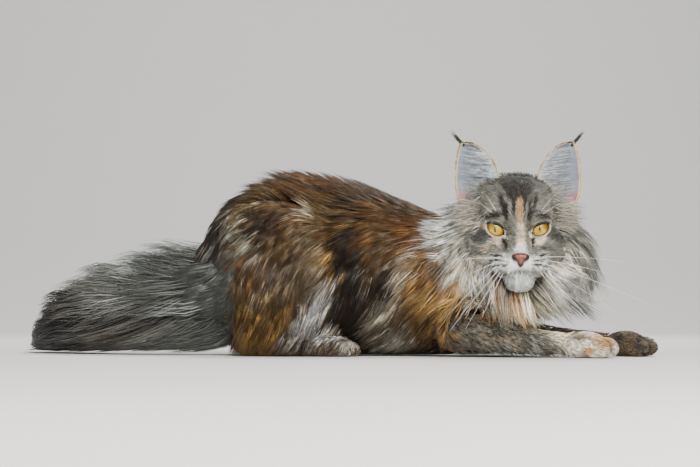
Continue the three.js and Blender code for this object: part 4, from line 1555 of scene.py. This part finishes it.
class CatSizes(bpy.types.PropertyGroup):
    """Sizes of the coat and eyes."""

    body_hair: FloatProperty(
        name="Body hair",
        description="Length of the hair on the trunk",
        default=0.036,
        min=0.01,
        max=0.06,
        subtype="DISTANCE",
    )
    ruff_hair: FloatProperty(
        name="Ruff hair",
        description="Length of the hair on neck and chest",
        default=0.048,
        min=0.02,
        max=0.07,
        subtype="DISTANCE",
    )
    tail_hair: FloatProperty(
        name="Tail hair",
        description="Length of the hair on the tail",
        default=0.058,
        min=0.02,
        max=0.08,
        subtype="DISTANCE",
    )
    face_hair: FloatProperty(
        name="Face hair",
        description="Length of the hair on forehead and cheeks",
        default=0.0075,
        min=0.003,
        max=0.015,
        subtype="DISTANCE",
    )
    density: FloatProperty(
        name="Density",
        description="Share of the full number of hairs",
        default=1.0,
        min=0.05,
        max=1.0,
        subtype="FACTOR",
    )


class CatColours(bpy.types.PropertyGroup):
    """Colours of eyes and nose."""

    iris: FloatVectorProperty(
        name="Iris",
        description="Colour of the iris",
        default=(0.62, 0.37, 0.004),
        min=0,
        max=1,
        subtype="COLOR",
    )
    iris_edge: FloatVectorProperty(
        name="Iris edge",
        description="Colour of the iris near its rim",
        default=(0.3, 0.12, 0.002),
        min=0,
        max=1,
        subtype="COLOR",
    )
    nose: FloatVectorProperty(
        name="Nose",
        description="Colour of the nose leather",
        default=tuple(linear(0x7B3A34)),
        min=0,
        max=1,
        subtype="COLOR",
    )


class CAT_OT_skin(bpy.types.Operator):
    """One skin over the whole body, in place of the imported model's flesh"""

    bl_idname = "cat.skin"
    bl_label = "Skin"

    def execute(self, context):
        body = skin()
        main, second = markings(body.points, body.owner)
        colours = mix(main, second, step(0.1, 0.6, waves(body.points, 7, 77))[:, None] * 0.4)
        names = np.array(NAMES)[body.owner]
        ears = np.isin(names, ["ear_right", "ear_left"])
        head = names == "head"
        # Painted shade: the skin is painted darker than the coat above it, half on the body and three
        # quarters on the head, for the shade under the hair; the bare ears keep their colour.
        shade = np.where(ears, 1.0, np.where(head, 0.75, 0.5))
        colours = colours * shade[:, None]
        lids = names == "lids"
        local = body.points[lids] - EYE_LINE
        plane = np.stack([np.abs(local[:, 0]) - EYE_SPREAD, local[:, 2]], 1)
        gap = outline_distance(plane, almond(1))
        under = 1 - step(-1.5, 0.5, plane @ [-math.sin(LID_SLANT), math.cos(LID_SLANT)])
        upper = mix(linear(0x0E0A08), linear(0x4A4036), step(1.4, 3.0, gap)[:, None])
        lower = mix(linear(0x1C120C), linear(0xCBB898), step(0.5, 1.4, gap)[:, None])
        colours[lids] = mix(upper, lower, under[:, None])
        piece = new_object("skin", body.points, body.faces, colours, body.uv.reshape(-1, 2))
        dress(piece, skin_material())
        flesh = [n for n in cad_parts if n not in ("eye_right", "eye_left", "nose")]
        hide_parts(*flesh)
        return {"FINISHED"}


VIEWER = np.array([0.0, -2200.0, 110.0])
EYE_RINGS, EYE_SIDES = 90, 96


class CAT_OT_eyes(bpy.types.Operator):
    """The two eyeballs, iris towards the viewer"""

    bl_idname = "cat.eyes"
    bl_label = "Eyes"

    def execute(self, context):
        colours = context.scene.cat_colours
        material = eye_material()
        for side, name in ((-1, "eye_right"), (1, "eye_left")):
            centre = EYE_LINE + [side * EYE_SPREAD, EYE_DEPTH, 0]
            gaze = unit(VIEWER - centre)
            right = unit(np.cross(gaze, UP))
            top = np.cross(right, gaze)
            grid = star_grid(EYE_RINGS, EYE_SIDES)
            turned_to = grid[:, :1] * right - grid[:, 1:2] * gaze + grid[:, 2:] * top
            points = centre + turned_to * (EYE_RADIUS - 0.05)
            x, z, forward = grid[:, 0] * EYE_RADIUS, grid[:, 2] * EYE_RADIUS, -grid[:, 1]
            across = np.hypot(x, z)
            angle = np.arctan2(z, x)
            fibres = np.sin(angle * 41 + 2 * np.sin(angle * 7)) * 0.5 + np.sin(angle * 67 + side) * 0.5
            iris = np.tile(np.array(colours.iris), (len(points), 1))
            iris = mix(iris, np.array(colours.iris_edge), step(4.5, 8.3, across + fibres * 0.5)[:, None])
            iris = mix(iris, linear(0x8E8A22), (1 - step(1.8, 4.6, across + fibres * 0.6))[:, None] * 0.75)
            iris = iris * (1 + 0.16 * fibres)[:, None]
            iris = mix(iris, linear(0x2A1607), step(8.1, 8.9, across)[:, None])
            iris = np.where((across > 9.4)[:, None] | (forward < 0)[:, None], linear(0x1A120D), iris)
            slant = x * side * -math.sin(LID_SLANT) + z * math.cos(LID_SLANT)
            iris = iris * mix(1, 0.4, step(0.8, 3.8, slant))[:, None]  # shade of the upper lid
            pupil = np.hypot(x, z / 3.1)
            iris = mix(linear(0x050403), iris, step(0.85, 1.15, pupil)[:, None])
            faces = outward(points - centre, grid_faces(EYE_RINGS, EYE_SIDES))
            piece = new_object("wet_" + name, points, faces, iris)
            dress(piece, material)
            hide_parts(name)
        return {"FINISHED"}


NOSTRIL = ((3.8, -35.5, -31.0), (7.4, -31, -28.8), 0.95)
NOSE_RINGS, NOSE_SIDES = 96, 128


def nose_distance(p):
    half = np.column_stack([np.abs(p[:, 0]), p[:, 1:]])
    d = ellipsoid(p, (0, -26.5, -27.6), (8.4, 6.6, 3.6))
    d = join(d, ellipsoid(p, (0, -27.5, -32.5), (3.4, 5.2, 5.6)), 3)
    d = join(d, ellipsoid(half, (5.0, -27.2, -29.2), (3.2, 5.4, 2.8)), 2)
    d = carve(d, capsule(half, *NOSTRIL), 1.2)
    return carve(d, capsule(p, (0, -35.4, -30), (0, -33.6, -39), 0.7), 1.2)


class CAT_OT_nose(bpy.types.Operator):
    """The nose leather with its nostrils"""

    bl_idname = "cat.nose"
    bl_label = "Nose"

    def execute(self, context):
        p = star(nose_distance, (0, -27, -30), star_grid(NOSE_RINGS, NOSE_SIDES), 18)
        x, z = np.abs(p[:, 0]), p[:, 2]
        tint = np.tile(np.array(context.scene.cat_colours.nose), (len(p), 1))
        half_width = np.maximum(7.9 * (z + 37.5) / 12, 0.2)
        edge = np.maximum(step(-26.6, -25.2, z), step(-1.9, -0.4, x - half_width))
        tint = mix(tint, linear(0x1C0F0D), edge[:, None] * 0.96)
        # Painted shade: the nostrils darkened for the shade inside them.
        hole = np.minimum(capsule(np.column_stack([x, p[:, 1:]]), *NOSTRIL), 3)
        tint = mix(linear(0x140807), tint, step(0.1, 0.9, hole)[:, None])
        tint = tint * (1 + 0.12 * waves(p, 2.0, 8))[:, None]
        faces = outward(p - [0, -27, -30], grid_faces(NOSE_RINGS, NOSE_SIDES))
        piece = new_object("nose_leather", p + EYE_LINE, faces, tint)
        dress(piece, nose_material())
        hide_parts("nose")
        return {"FINISHED"}


def number(context, full):
    return max(50, int(full * context.scene.cat_sizes.density * (1)))


class CAT_OT_face_coat(bpy.types.Operator):
    """Short fur of the face and the back of the head"""

    bl_idname = "cat.face_coat"
    bl_label = "Face fur"

    def execute(self, context):
        body = skin()
        face_hair = context.scene.cat_sizes.face_hair * 1000
        local = body.middle - EYE_LINE
        head = owners("head")
        clear = step(1.3, 2.2, eye_gap(local) + np.where(local[:, 1] > 15, 9, 0))
        leather = np.linalg.norm((local - [0, -30, -30]) / [9.5, 8, 6.6], axis=1)
        clear *= step(0.95, 1.15, leather)
        front = head * clear * (1 - step(28, 42, local[:, 1]))
        inner = np.linalg.norm((local - [0, -22, -30]) / [30, 40, 26], axis=1)
        front *= mix(1.9, 1.0, step(0.6, 1.6, inner))

        def length(p):
            q = p - EYE_LINE
            near_nose = step(0, 42, np.linalg.norm((q - [0, -30, -24]) * [0.8, 0.6, 1.1], axis=1))
            cheek = step(34, 62, np.abs(q[:, 0])) * (1 - step(20, 50, q[:, 2]))
            by_eye = step(1, 9, eye_gap(q) + np.where(q[:, 1] > 15, 20, 0))
            chin = step(48, 56, -q[:, 2])
            return mix(2.2, face_hair, near_nose) * (1 + 0.9 * cheek + 1.2 * chin) * mix(0.4, 1, by_eye)

        face = Coat(
            face_flow,
            length,
            lambda p: mix(0.42, 0.62, step(20, 60, np.abs((p - EYE_LINE)[:, 0]))),
            lambda p: length(p) * 0.2,
            rings=2,
            lock=14,
            gather=0.35,
            droop=0.3,
            stray=0.14,
            tone=0.2,
            mixed=0.42,
            painted_root_shade=0.62,
            blur=0.6,
        )
        fur = fur_material("short_face_fur", 0.55, 0.28, 0.08)
        grow("face_fur", face, front, number(context, 16500), 101, fur)
        rear = head * step(24, 40, local[:, 1])
        crown = Coat(
            face_flow,
            constant(15),
            constant(1.0),
            lambda p: 4 + 3.5 * step(34, 50, (p - EYE_LINE)[:, 2]),
            rings=2,
            lock=10,
            gather=0.5,
            blur=2,
        )
        grow("crown_fur", crown, rear, number(context, 4500), 103, fur)
        return {"FINISHED"}


class CAT_OT_ear_coat(bpy.types.Operator):
    """Hair on the backs, rims and insides of the ears, with the dark tufts at their tips"""

    bl_idname = "cat.ear_coat"
    bl_label = "Ear fur"

    def execute(self, context):
        body = skin()
        fur = fur_material("ear_fur", 0.5, 0.4, 0.1)
        local = body.middle - EYE_LINE
        for side, name in EARS:
            ear = owners(name) * (local[:, 2] > 14)
            back = ear * (body.face_normals[:, 1] > 0.05)
            coat = Coat(
                lambda p, n: np.tile([side * 0.15, 0.0, 1.0], (len(p), 1)),
                constant(7),
                constant(1.2),
                constant(1.3),
                rings=2,
                droop=0,
                gather=0.3,
                lock=12,
                blur=0.2,
                ears=True,
            )
            grow("back_of_" + name, coat, back, number(context, 2200), 211 + side, fur)
            self.inner_hairs(context, side, name, fur)
        return {"FINISHED"}

    def inner_hairs(self, context, side, name, fur):
        """Pale hairs across the cup, cream rim, long hair at the root and a dark tuft on the tip."""
        random = np.random.default_rng(231 + side)
        paths, widths, colours = [], [], []

        def add(path, width, colour):
            paths.append(path)
            widths.append(width)
            colours.append(colour)

        def bent(root, reach, bend):
            return root + reach * t[:, None] + np.array(bend) * t[:, None] ** 2

        t = np.linspace(0, 1, 4)
        root_shade = np.array([[0.55], [0.85], [1], [1.05]])
        deep_root_shade = np.array([[0.5], [0.8], [1], [1.05]])
        for _ in range(number(context, 480)):
            v = random.uniform(0.16, 0.9)
            z = mix(EAR_ROOT, EAR_TOP, v)
            reach = random.uniform(0.35, 0.97)
            rise = random.normal() * 0.02 + 0.03
            u = 0.015 + reach * t
            lean = v + rise * t + 0.02 * t * t
            lift = np.array([0, 2.6, 3.4, 2.2]) * random.uniform(0.5, 1.3)
            p = ear_sheet(side, u, np.clip(lean, 0, 0.995), 0.0)
            p[:, 1] -= lift * (1 - v * 0.5)
            tone = mix(linear(0x7A838E), linear(0xE8EDF0), random.uniform() ** 1.4) * mix(0.8, 1.0, z / 90)
            add(p, random.uniform(0.3, 0.62), np.tile(tone, (4, 1)))
        for _ in range(number(context, 620)):
            v = random.uniform(0.02, 0.37)
            u = random.uniform(0.0, 0.93 - 0.9 * v)
            p0 = ear_sheet(side, np.array([u]), np.array([v]), 0.0)[0]
            reach = np.array([side * random.uniform(-1, 9), random.uniform(-8, -3), random.uniform(6, 14)])
            p = bent(p0, reach, [0, 0, -3.0])
            tone = mix(linear(SILVER), linear(CREAM), random.uniform()) * random.uniform(0.7, 1.1)
            add(p, random.uniform(0.6, 1.0), np.tile(tone, (4, 1)) * root_shade)
        for _ in range(number(context, 300)):
            root = np.array([side * random.uniform(32, 42), random.uniform(14, 28), random.uniform(2, 26)])
            reach = np.array([side * random.uniform(14, 32), random.uniform(-4, 3), random.uniform(-4, 14)])
            p = bent(root, reach, [0, 0, -6.0])
            tone = mix(linear(ASH), linear(CREAM), random.uniform()) * random.uniform(0.6, 1.1)
            add(p, random.uniform(0.6, 1.0), np.tile(tone, (4, 1)) * deep_root_shade)
        for edge in (0.0, 1.0):
            for _ in range(number(context, 260)):
                v = random.uniform(0.1, 0.97) if edge else random.uniform(0.28, 0.97)
                run = random.uniform(0.015, 0.045)
                vs = np.clip(v + run * t, 0, 0.999)
                p = ear_sheet(side, np.full(4, edge), vs, random.uniform(0.2, 1.8))
                sign = side * (1 if edge else -1)
                p[:, 0] += sign * np.array([0, 0.7, 1.4, 2.1]) * random.uniform(0.1, 1.2)
                p[:, 1] += random.normal() * 0.4
                tone = linear(0xD9C08E) * random.uniform(0.8, 1.1)
                add(p, random.uniform(0.3, 0.5), np.tile(tone, (4, 1)))
        for _ in range(TIP_TUFT_HAIRS):
            root = np.array([side * 52.4 + ear_shift(side), 31.2, 85.0])
            root = root + random.normal(size=3) * [0.8, 0.5, 0.6]
            reach = np.array([side * 11.0, 0, 18.0]) * random.uniform(0.45, 1.0)
            reach += random.normal(size=3) * [0.8, 0.8, 0.6]
            p = bent(root, reach, [side * 2.5, 0, -1.5])
            add(p, random.uniform(0.32, 0.6), np.tile(linear(0x0E0A08) * random.uniform(0.7, 1.6), (4, 1)))
        paths = np.array(paths) + EYE_LINE
        across = 0.55 + 0.2 * random.uniform(size=len(paths))
        uv = np.stack([across, 0.8 + 0.15 * random.uniform(size=len(paths))], 1)
        normals = np.tile([0.0, -1.0, 0.0], (len(paths), 1))
        piece = tuft_mesh("hair_of_" + name, paths, normals, np.array(widths), 0.7, np.array(colours), uv)
        dress(piece, fur)


class CAT_OT_ruff(bpy.types.Operator):
    """The long collar of neck and chest"""

    bl_idname = "cat.ruff"
    bl_label = "Ruff"

    def execute(self, context):
        body = skin()
        long = context.scene.cat_sizes.ruff_hair * 1000
        local = body.middle - EYE_LINE
        fur = fur_material("long_ruff_fur", 0.45, 0.45, 0.1)
        neck = owners("neck")
        jowl = owners("head") * step(16, 30, local[:, 1]) * (1 - step(22, 46, local[:, 2]))
        lower_cheek = step(28, 42, -local[:, 2]) * step(12, 20, np.abs(local[:, 0]))
        lower_cheek *= step(-16, -4, local[:, 1])
        jowl += owners("head") * lower_cheek * 1.3
        jowl += owners("head") * (1 - step(-46, -38, local[:, 2])) * step(-2, 10, local[:, 1])
        chest = owners("torso") * step(105, 130, body.middle[:, 0]) * (1 - step(60, 100, body.middle[:, 1]))

        def parts_of(q):
            """1 on the nape, at the sides of the cheeks, and on the throat."""
            nape = step(28, 62, q[:, 1])
            high = np.where(q[:, 0] < 0, 12, 0)
            side = step(28, 52, np.abs(q[:, 0])) * (1 - step(26, 52, q[:, 2] - high)) * (1 - nape)
            return nape, side, 1 - step(12, 45, q[:, 1])

        def far_side(q):
            """1 beside the cat's left cheek, and about half that high up beside the right one."""
            return np.where(q[:, 0] > 0, 1.0, 0.8 * step(-5, 25, q[:, 2]))

        def length(p):
            q = p - EYE_LINE
            nape, side, throat = parts_of(q)
            right = step(20, 50, q[:, 0]) * step(20, 50, -q[:, 2])
            beside = (0.3 + 0.14 * far_side(q)) * side
            full = long * (1 - 0.35 * nape + beside + 0.12 * throat + 0.6 * right)
            return full * mix(mix(0.25, 1.05, step(14, 44, q[:, 1])), 0.9, step(26, 48, -q[:, 2]))

        def rise(p):
            q = p - EYE_LINE
            nape, side, throat = parts_of(q)
            full = 26 - 17 * nape + (20 + 9 * far_side(q)) * side + 12 * throat
            return full * mix(mix(0.2, 1, step(14, 44, q[:, 1])), 0.9, step(26, 52, -q[:, 2]))

        coat = Coat(
            ruff_flow,
            length,
            constant(0.95),
            rise,
            hold=0.3,
            droop=8,
            gather=0.7,
            lock=15,
            stray=0.17,
            tone=0.22,
            mixed=0.4,
            painted_root_shade=0.55,
            loose=lambda p: 0.8 * throat_at(p - EYE_LINE),
        )
        weights = neck + jowl * 1.2 + chest
        sides = {
            "ruff_right": (local[:, 0] < -20, 6800),
            "ruff_middle": ((local[:, 0] >= -20) & (local[:, 0] < 22), 7200),
            "ruff_left": (local[:, 0] >= 22, 6000),
        }
        for i, (name, (here, count)) in enumerate(sides.items()):
            grow(name, coat, weights * here, number(context, count), 301 + i, fur)
        return {"FINISHED"}


class CAT_OT_body_coat(bpy.types.Operator):
    """The shaggy coat of trunk and haunches"""

    bl_idname = "cat.body_coat"
    bl_label = "Body coat"

    def execute(self, context):
        body = skin()
        long = context.scene.cat_sizes.body_hair * 1000
        fur = fur_material("long_body_fur", 0.5, 0.32, 0.03)
        torso = owners("torso") * (body.middle[:, 2] > 6)
        beside = body.middle[:, 1] - spine_y(body.middle[:, 0])

        def top(p):
            return step(118, 158, p[:, 2]) * step(-92, -40, p[:, 0] + 14 * waves(p, 26, 93))

        def rump(p):
            return (1 - step(-134, -112, p[:, 0])) * step(88, 104, p[:, 2]) * (1 - step(128, 150, p[:, 2]))

        def length(p):
            rear = 1 - step(-120, -80, p[:, 0])
            return long * (1.15 + 0.25 * rear + 0.15 * top(p)) * (1 - 0.15 * step(60, 110, p[:, 0]))

        shaggy = {"hold": 0.85, "lock": 12, "stray": 0.13, "rings": 2, "tone": 0.17}
        shaggy.update({"mixed": 0.42, "painted_root_shade": 0.45, "blur": 5})
        coat = Coat(
            trunk_flow,
            length,
            constant(0.9),
            lambda p: 8 + 2 * step(40, 140, p[:, 2]) + 17 * top(p),
            droop=3,
            loose=lambda p: np.maximum(tail_base(p), 0.6 * rump(p)),
            **shaggy,
        )
        pieces = {
            "flank_right": (beside < -25, 15000),
            "back": ((beside >= -25) & (beside < 25), 12000),
            "flank_left": (beside >= 25, 6500),
        }
        for i, (name, (here, count)) in enumerate(pieces.items()):
            grow(name + "_coat", coat, torso * here, number(context, count), 401 + i, fur)

        def hem(p):
            """1 where the haunch's hair hangs free over the foot."""
            return 1 - step(34, 78, p[:, 2])

        def thigh_length(p):
            full = long * (1.05 + 0.65 * tail_base(p) + 0.5 * hem(p))
            return np.minimum(full, p[:, 2] + 12 + 40 * tail_base(p))

        thigh = Coat(
            thigh_flow,
            thigh_length,
            constant(0.9),
            lambda p: 8 + 4 * hem(p),
            droop=4,
            loose=lambda p: np.maximum(tail_base(p), 0.85 * hem(p)),
            **shaggy,
        )
        for i, name in enumerate(("thigh_right", "thigh_left")):
            here = owners(name) * (body.middle[:, 2] > 4)
            grow(name + "_coat", thigh, here, number(context, 12500 - 8000 * i), 421 + i, fur)
        return {"FINISHED"}


class CAT_OT_tail_coat(bpy.types.Operator):
    """The plume of the tail"""

    bl_idname = "cat.tail_coat"
    bl_label = "Tail plume"

    def execute(self, context):
        long = context.scene.cat_sizes.tail_hair * 1000
        fur = fur_material("long_tail_fur", 0.46, 0.45, 0.08)
        coat = Coat(
            None,
            constant(long * 1.15),
            constant(1.2),
            None,
            trace=plume_trace,
            lock=14,
            stray=0.17,
            tone=0.2,
            mixed=0.3,
            blur=5,
        )
        count = number(context, 11000)
        grow("tail_plume", coat, None, count, 501, fur, plume_roots(count))
        return {"FINISHED"}


class CAT_OT_leg_coat(bpy.types.Operator):
    """Short fur of legs and paws"""

    bl_idname = "cat.leg_coat"
    bl_label = "Leg fur"

    def execute(self, context):
        fur = fur_material("short_leg_fur", 0.55, 0.35, 0.12)
        short = {"rings": 2, "gather": 0.32, "lock": 9, "droop": 1, "stray": 0.16, "tone": 0.13}
        short.update({"mixed": 0.34, "painted_root_shade": 0.66, "blur": 2.5})
        for i, name in enumerate(("foreleg_right", "foreleg_left")):
            length = lambda p, name=name: 11 + 15 * elbow(name, p)
            coat = Coat(leg_flow(name), length, constant(0.85), constant(3.4), **short)
            grow(name + "_fur", coat, owners(name), number(context, 5000 - 2000 * i), 601 + i, fur)
        shaggy = Coat(
            foot_flow,
            lambda p: 17 + 16 * tail_base(p),
            constant(1.0),
            constant(5),
            lock=10,
            tone=0.18,
            droop=4,
            rings=2,
            stray=0.15,
            loose=lambda p: 0.5 * tail_base(p),
        )
        for i, side in enumerate(("right", "left")):
            here = owners("hind_foot_" + side, "hind_paw_" + side)
            count = number(context, 2800 - 1400 * i)
            grow(f"hind_foot_{side}_fur", shaggy, here, count, 611 + i, fur)
        for i, name in enumerate(("front_paw_right", "front_paw_left")):
            close = {**short, "droop": 0.3, "gather": 0.25, "blur": 0.8}
            coat = Coat(paw_flow(name), constant(5.5), constant(0.7), constant(1.3), **close)
            grow(name + "_fur", coat, owners(name), number(context, 3200 - 800 * i), 621 + i, fur)
        return {"FINISHED"}


# Whiskers: root from the eye line and the direction and length of each, mm.
WHISKERS = [
    ((21, -26, -28), (100, -12, 2), 80),
    ((20, -25, -31), (100, -10, -12), 70),
    ((21, -25, -34), (100, -8, -30), 108),
    ((20, -25, -37), (84, -4, -44), 84),
    ((19, -24, -39), (62, -2, -58), 80),
    ((16, -26, -39), (52, -8, -62), 60),
    ((-21, -26, -29), (-100, -12, 2), 52),
    ((-20, -25, -32), (-90, -10, -34), 54),
    ((-21, -25, -35), (-70, -12, -62), 70),
    ((-19, -25, -38), (-58, -12, -64), 76),
    ((-17, -25, -39), (-46, -12, -66), 66),
    ((-15, -26, -40), (-38, -14, -70), 50),
    ((-19, 0, 13), (-30, -20, 50), 30),
    ((19, 0, 13), (34, -20, 48), 30),
    ((-22, 0, 13), (-46, -20, 40), 24),
    ((22, 0, 13), (48, -20, 38), 24),
]


class CAT_OT_whiskers(bpy.types.Operator):
    """Whiskers of lips and brows"""

    bl_idname = "cat.whiskers"
    bl_label = "Whiskers"

    def execute(self, context):
        rings, sides = 15, 6
        points, faces = [], []
        t = np.linspace(0, 1, rings)
        radius = mix(0.22, 0.05, t)[:, None, None]
        for root, way, length in WHISKERS:
            way = unit(np.array(way, dtype=float))
            sag = DOWN * (length * 0.09) * (t**2)[:, None]
            line = np.array(root) + EYE_LINE + way * length * t[:, None] + sag
            along = unit(np.gradient(line, axis=0))
            across = unit(np.cross(along, UP))
            ring = ellipses(across, np.cross(across, along), sides)
            p = (line[:, None] + ring * radius).reshape(-1, 3)
            mine = outward(p - p.mean(axis=0), grid_faces(rings, sides))
            faces.append(mine + len(points) * rings * sides)
            points.append(p)
        piece = new_object("whiskers", np.vstack(points), np.vstack(faces))
        dress(piece, whisker_material())
        return {"FINISHED"}


# The floor and its backdrop in one sweep, m.
SWEEP_FRONT = -9.0
SWEEP_BEND = 2.2
SWEEP_RADIUS = 2.8
SWEEP_HEIGHT = 6.0
SWEEP_HALF_WIDTH = 8.0
SWEEP_STEPS = 24
CAMERA_TILT = 92.04
CAMERA_LENS = 113.14
CAMERA_SPOT = np.array([0.0, -2200.0, 45.0])  # in the design's own mm
# Name, place, size in m, power in W and colour of each light.
LIGHTS = [
    ("key", (0.45, -1.9, 1.75), 1.2, 92, 0xFFF8EE),
    ("low_fill", (0.75, -2.1, 0.3), 0.9, 20, 0xFFFFFF),
    ("side_fill", (-1.7, -1.4, 0.8), 1.4, 12, 0xEAF1FF),
    ("sparkle", (0.22, -1.9, 0.75), 0.16, 9, 0xFFFFFF),
    ("rim", (0.2, 1.2, 1.7), 1.0, 34, 0xFFFFFF),
    ("backdrop", (0.0, 1.5, 3.0), 1.5, 110, 0xFFFFFF),
]


class CAT_OT_stage(bpy.types.Operator):
    """Pale floor and backdrop, soft lights and the camera"""

    bl_idname = "cat.stage"
    bl_label = "Stage"

    def execute(self, context):
        scene = context.scene
        profile = [(SWEEP_FRONT, 0.0), (SWEEP_BEND, 0.0)]
        for k in range(1, SWEEP_STEPS + 1):
            a = k / SWEEP_STEPS * math.pi / 2
            profile.append((SWEEP_BEND + math.sin(a) * SWEEP_RADIUS, (1 - math.cos(a)) * SWEEP_RADIUS))
        profile.append((SWEEP_BEND + SWEEP_RADIUS, SWEEP_HEIGHT))
        points = [(x, y, z) for y, z in profile for x in (-SWEEP_HALF_WIDTH, SWEEP_HALF_WIDTH)]
        faces = [(2 * k, 2 * k + 1, 2 * k + 3, 2 * k + 2) for k in range(len(profile) - 1)]
        mesh = bpy.data.meshes.new("studio_sweep")
        mesh.from_pydata(points, [], faces)
        for polygon in mesh.polygons:
            polygon.use_smooth = True
        sweep = bpy.data.objects.new("studio_sweep", mesh)
        mesh.materials.append(floor_material())
        scene.collection.objects.link(sweep)

        for name, spot, size, power, colour in LIGHTS:
            aim = Vector((0.0, 4.4, 0.7)) if name == "backdrop" else Vector((0.0, 0.0, 0.1))
            data = bpy.data.lights.new(name, "AREA")
            data.size = size
            data.energy = power
            data.color = tuple(linear(colour))
            lamp = bpy.data.objects.new(name, data)
            lamp.location = spot
            lamp.rotation_euler = (aim - Vector(spot)).to_track_quat("-Z", "Y").to_euler()
            scene.collection.objects.link(lamp)
        world = bpy.data.worlds.new("studio")
        world.use_nodes = True
        background = world.node_tree.nodes["Background"]
        background.inputs["Color"].default_value = (*linear(0xDDE2E8), 1)
        background.inputs["Strength"].default_value = 0.5
        scene.world = world

        camera = bpy.data.cameras.new("camera")
        camera.sensor_width = 36
        camera.lens = CAMERA_LENS
        eye = bpy.data.objects.new("camera", camera)
        eye.location = Vector(to_world(CAMERA_SPOT))
        eye.rotation_euler = (math.radians(CAMERA_TILT), 0, 0)
        scene.collection.objects.link(eye)
        scene.camera = eye
        return {"FINISHED"}


STEPS = (
    CAT_OT_skin,
    CAT_OT_eyes,
    CAT_OT_nose,
    CAT_OT_face_coat,
    CAT_OT_ear_coat,
    CAT_OT_ruff,
    CAT_OT_body_coat,
    CAT_OT_tail_coat,
    CAT_OT_leg_coat,
    CAT_OT_whiskers,
    CAT_OT_stage,
)


class CAT_PT_panel(bpy.types.Panel):
    """The pieces of the cat in the sidebar"""

    bl_label = "Cat"
    bl_idname = "CAT_PT_panel"
    bl_space_type = "VIEW_3D"
    bl_region_type = "UI"
    bl_category = "Cat"

    def draw(self, context):
        for group in (context.scene.cat_sizes, context.scene.cat_colours):
            for name in group.__annotations__:
                self.layout.prop(group, name)
        for operator in STEPS:
            self.layout.operator(operator.bl_idname)


CLASSES = (CatSizes, CatColours, *STEPS, CAT_PT_panel)


def register():
    for cls in CLASSES:
        bpy.utils.register_class(cls)
    bpy.types.Scene.cat_sizes = PointerProperty(type=CatSizes)
    bpy.types.Scene.cat_colours = PointerProperty(type=CatColours)


def unregister():
    del bpy.types.Scene.cat_colours
    del bpy.types.Scene.cat_sizes
    for cls in reversed(CLASSES):
        bpy.utils.unregister_class(cls)


def main():
    register()
    for cls in STEPS:
        group, name = cls.bl_idname.split(".")
        getattr(getattr(bpy.ops, group), name)()
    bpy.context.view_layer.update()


if __name__ == "__main__":
    main()
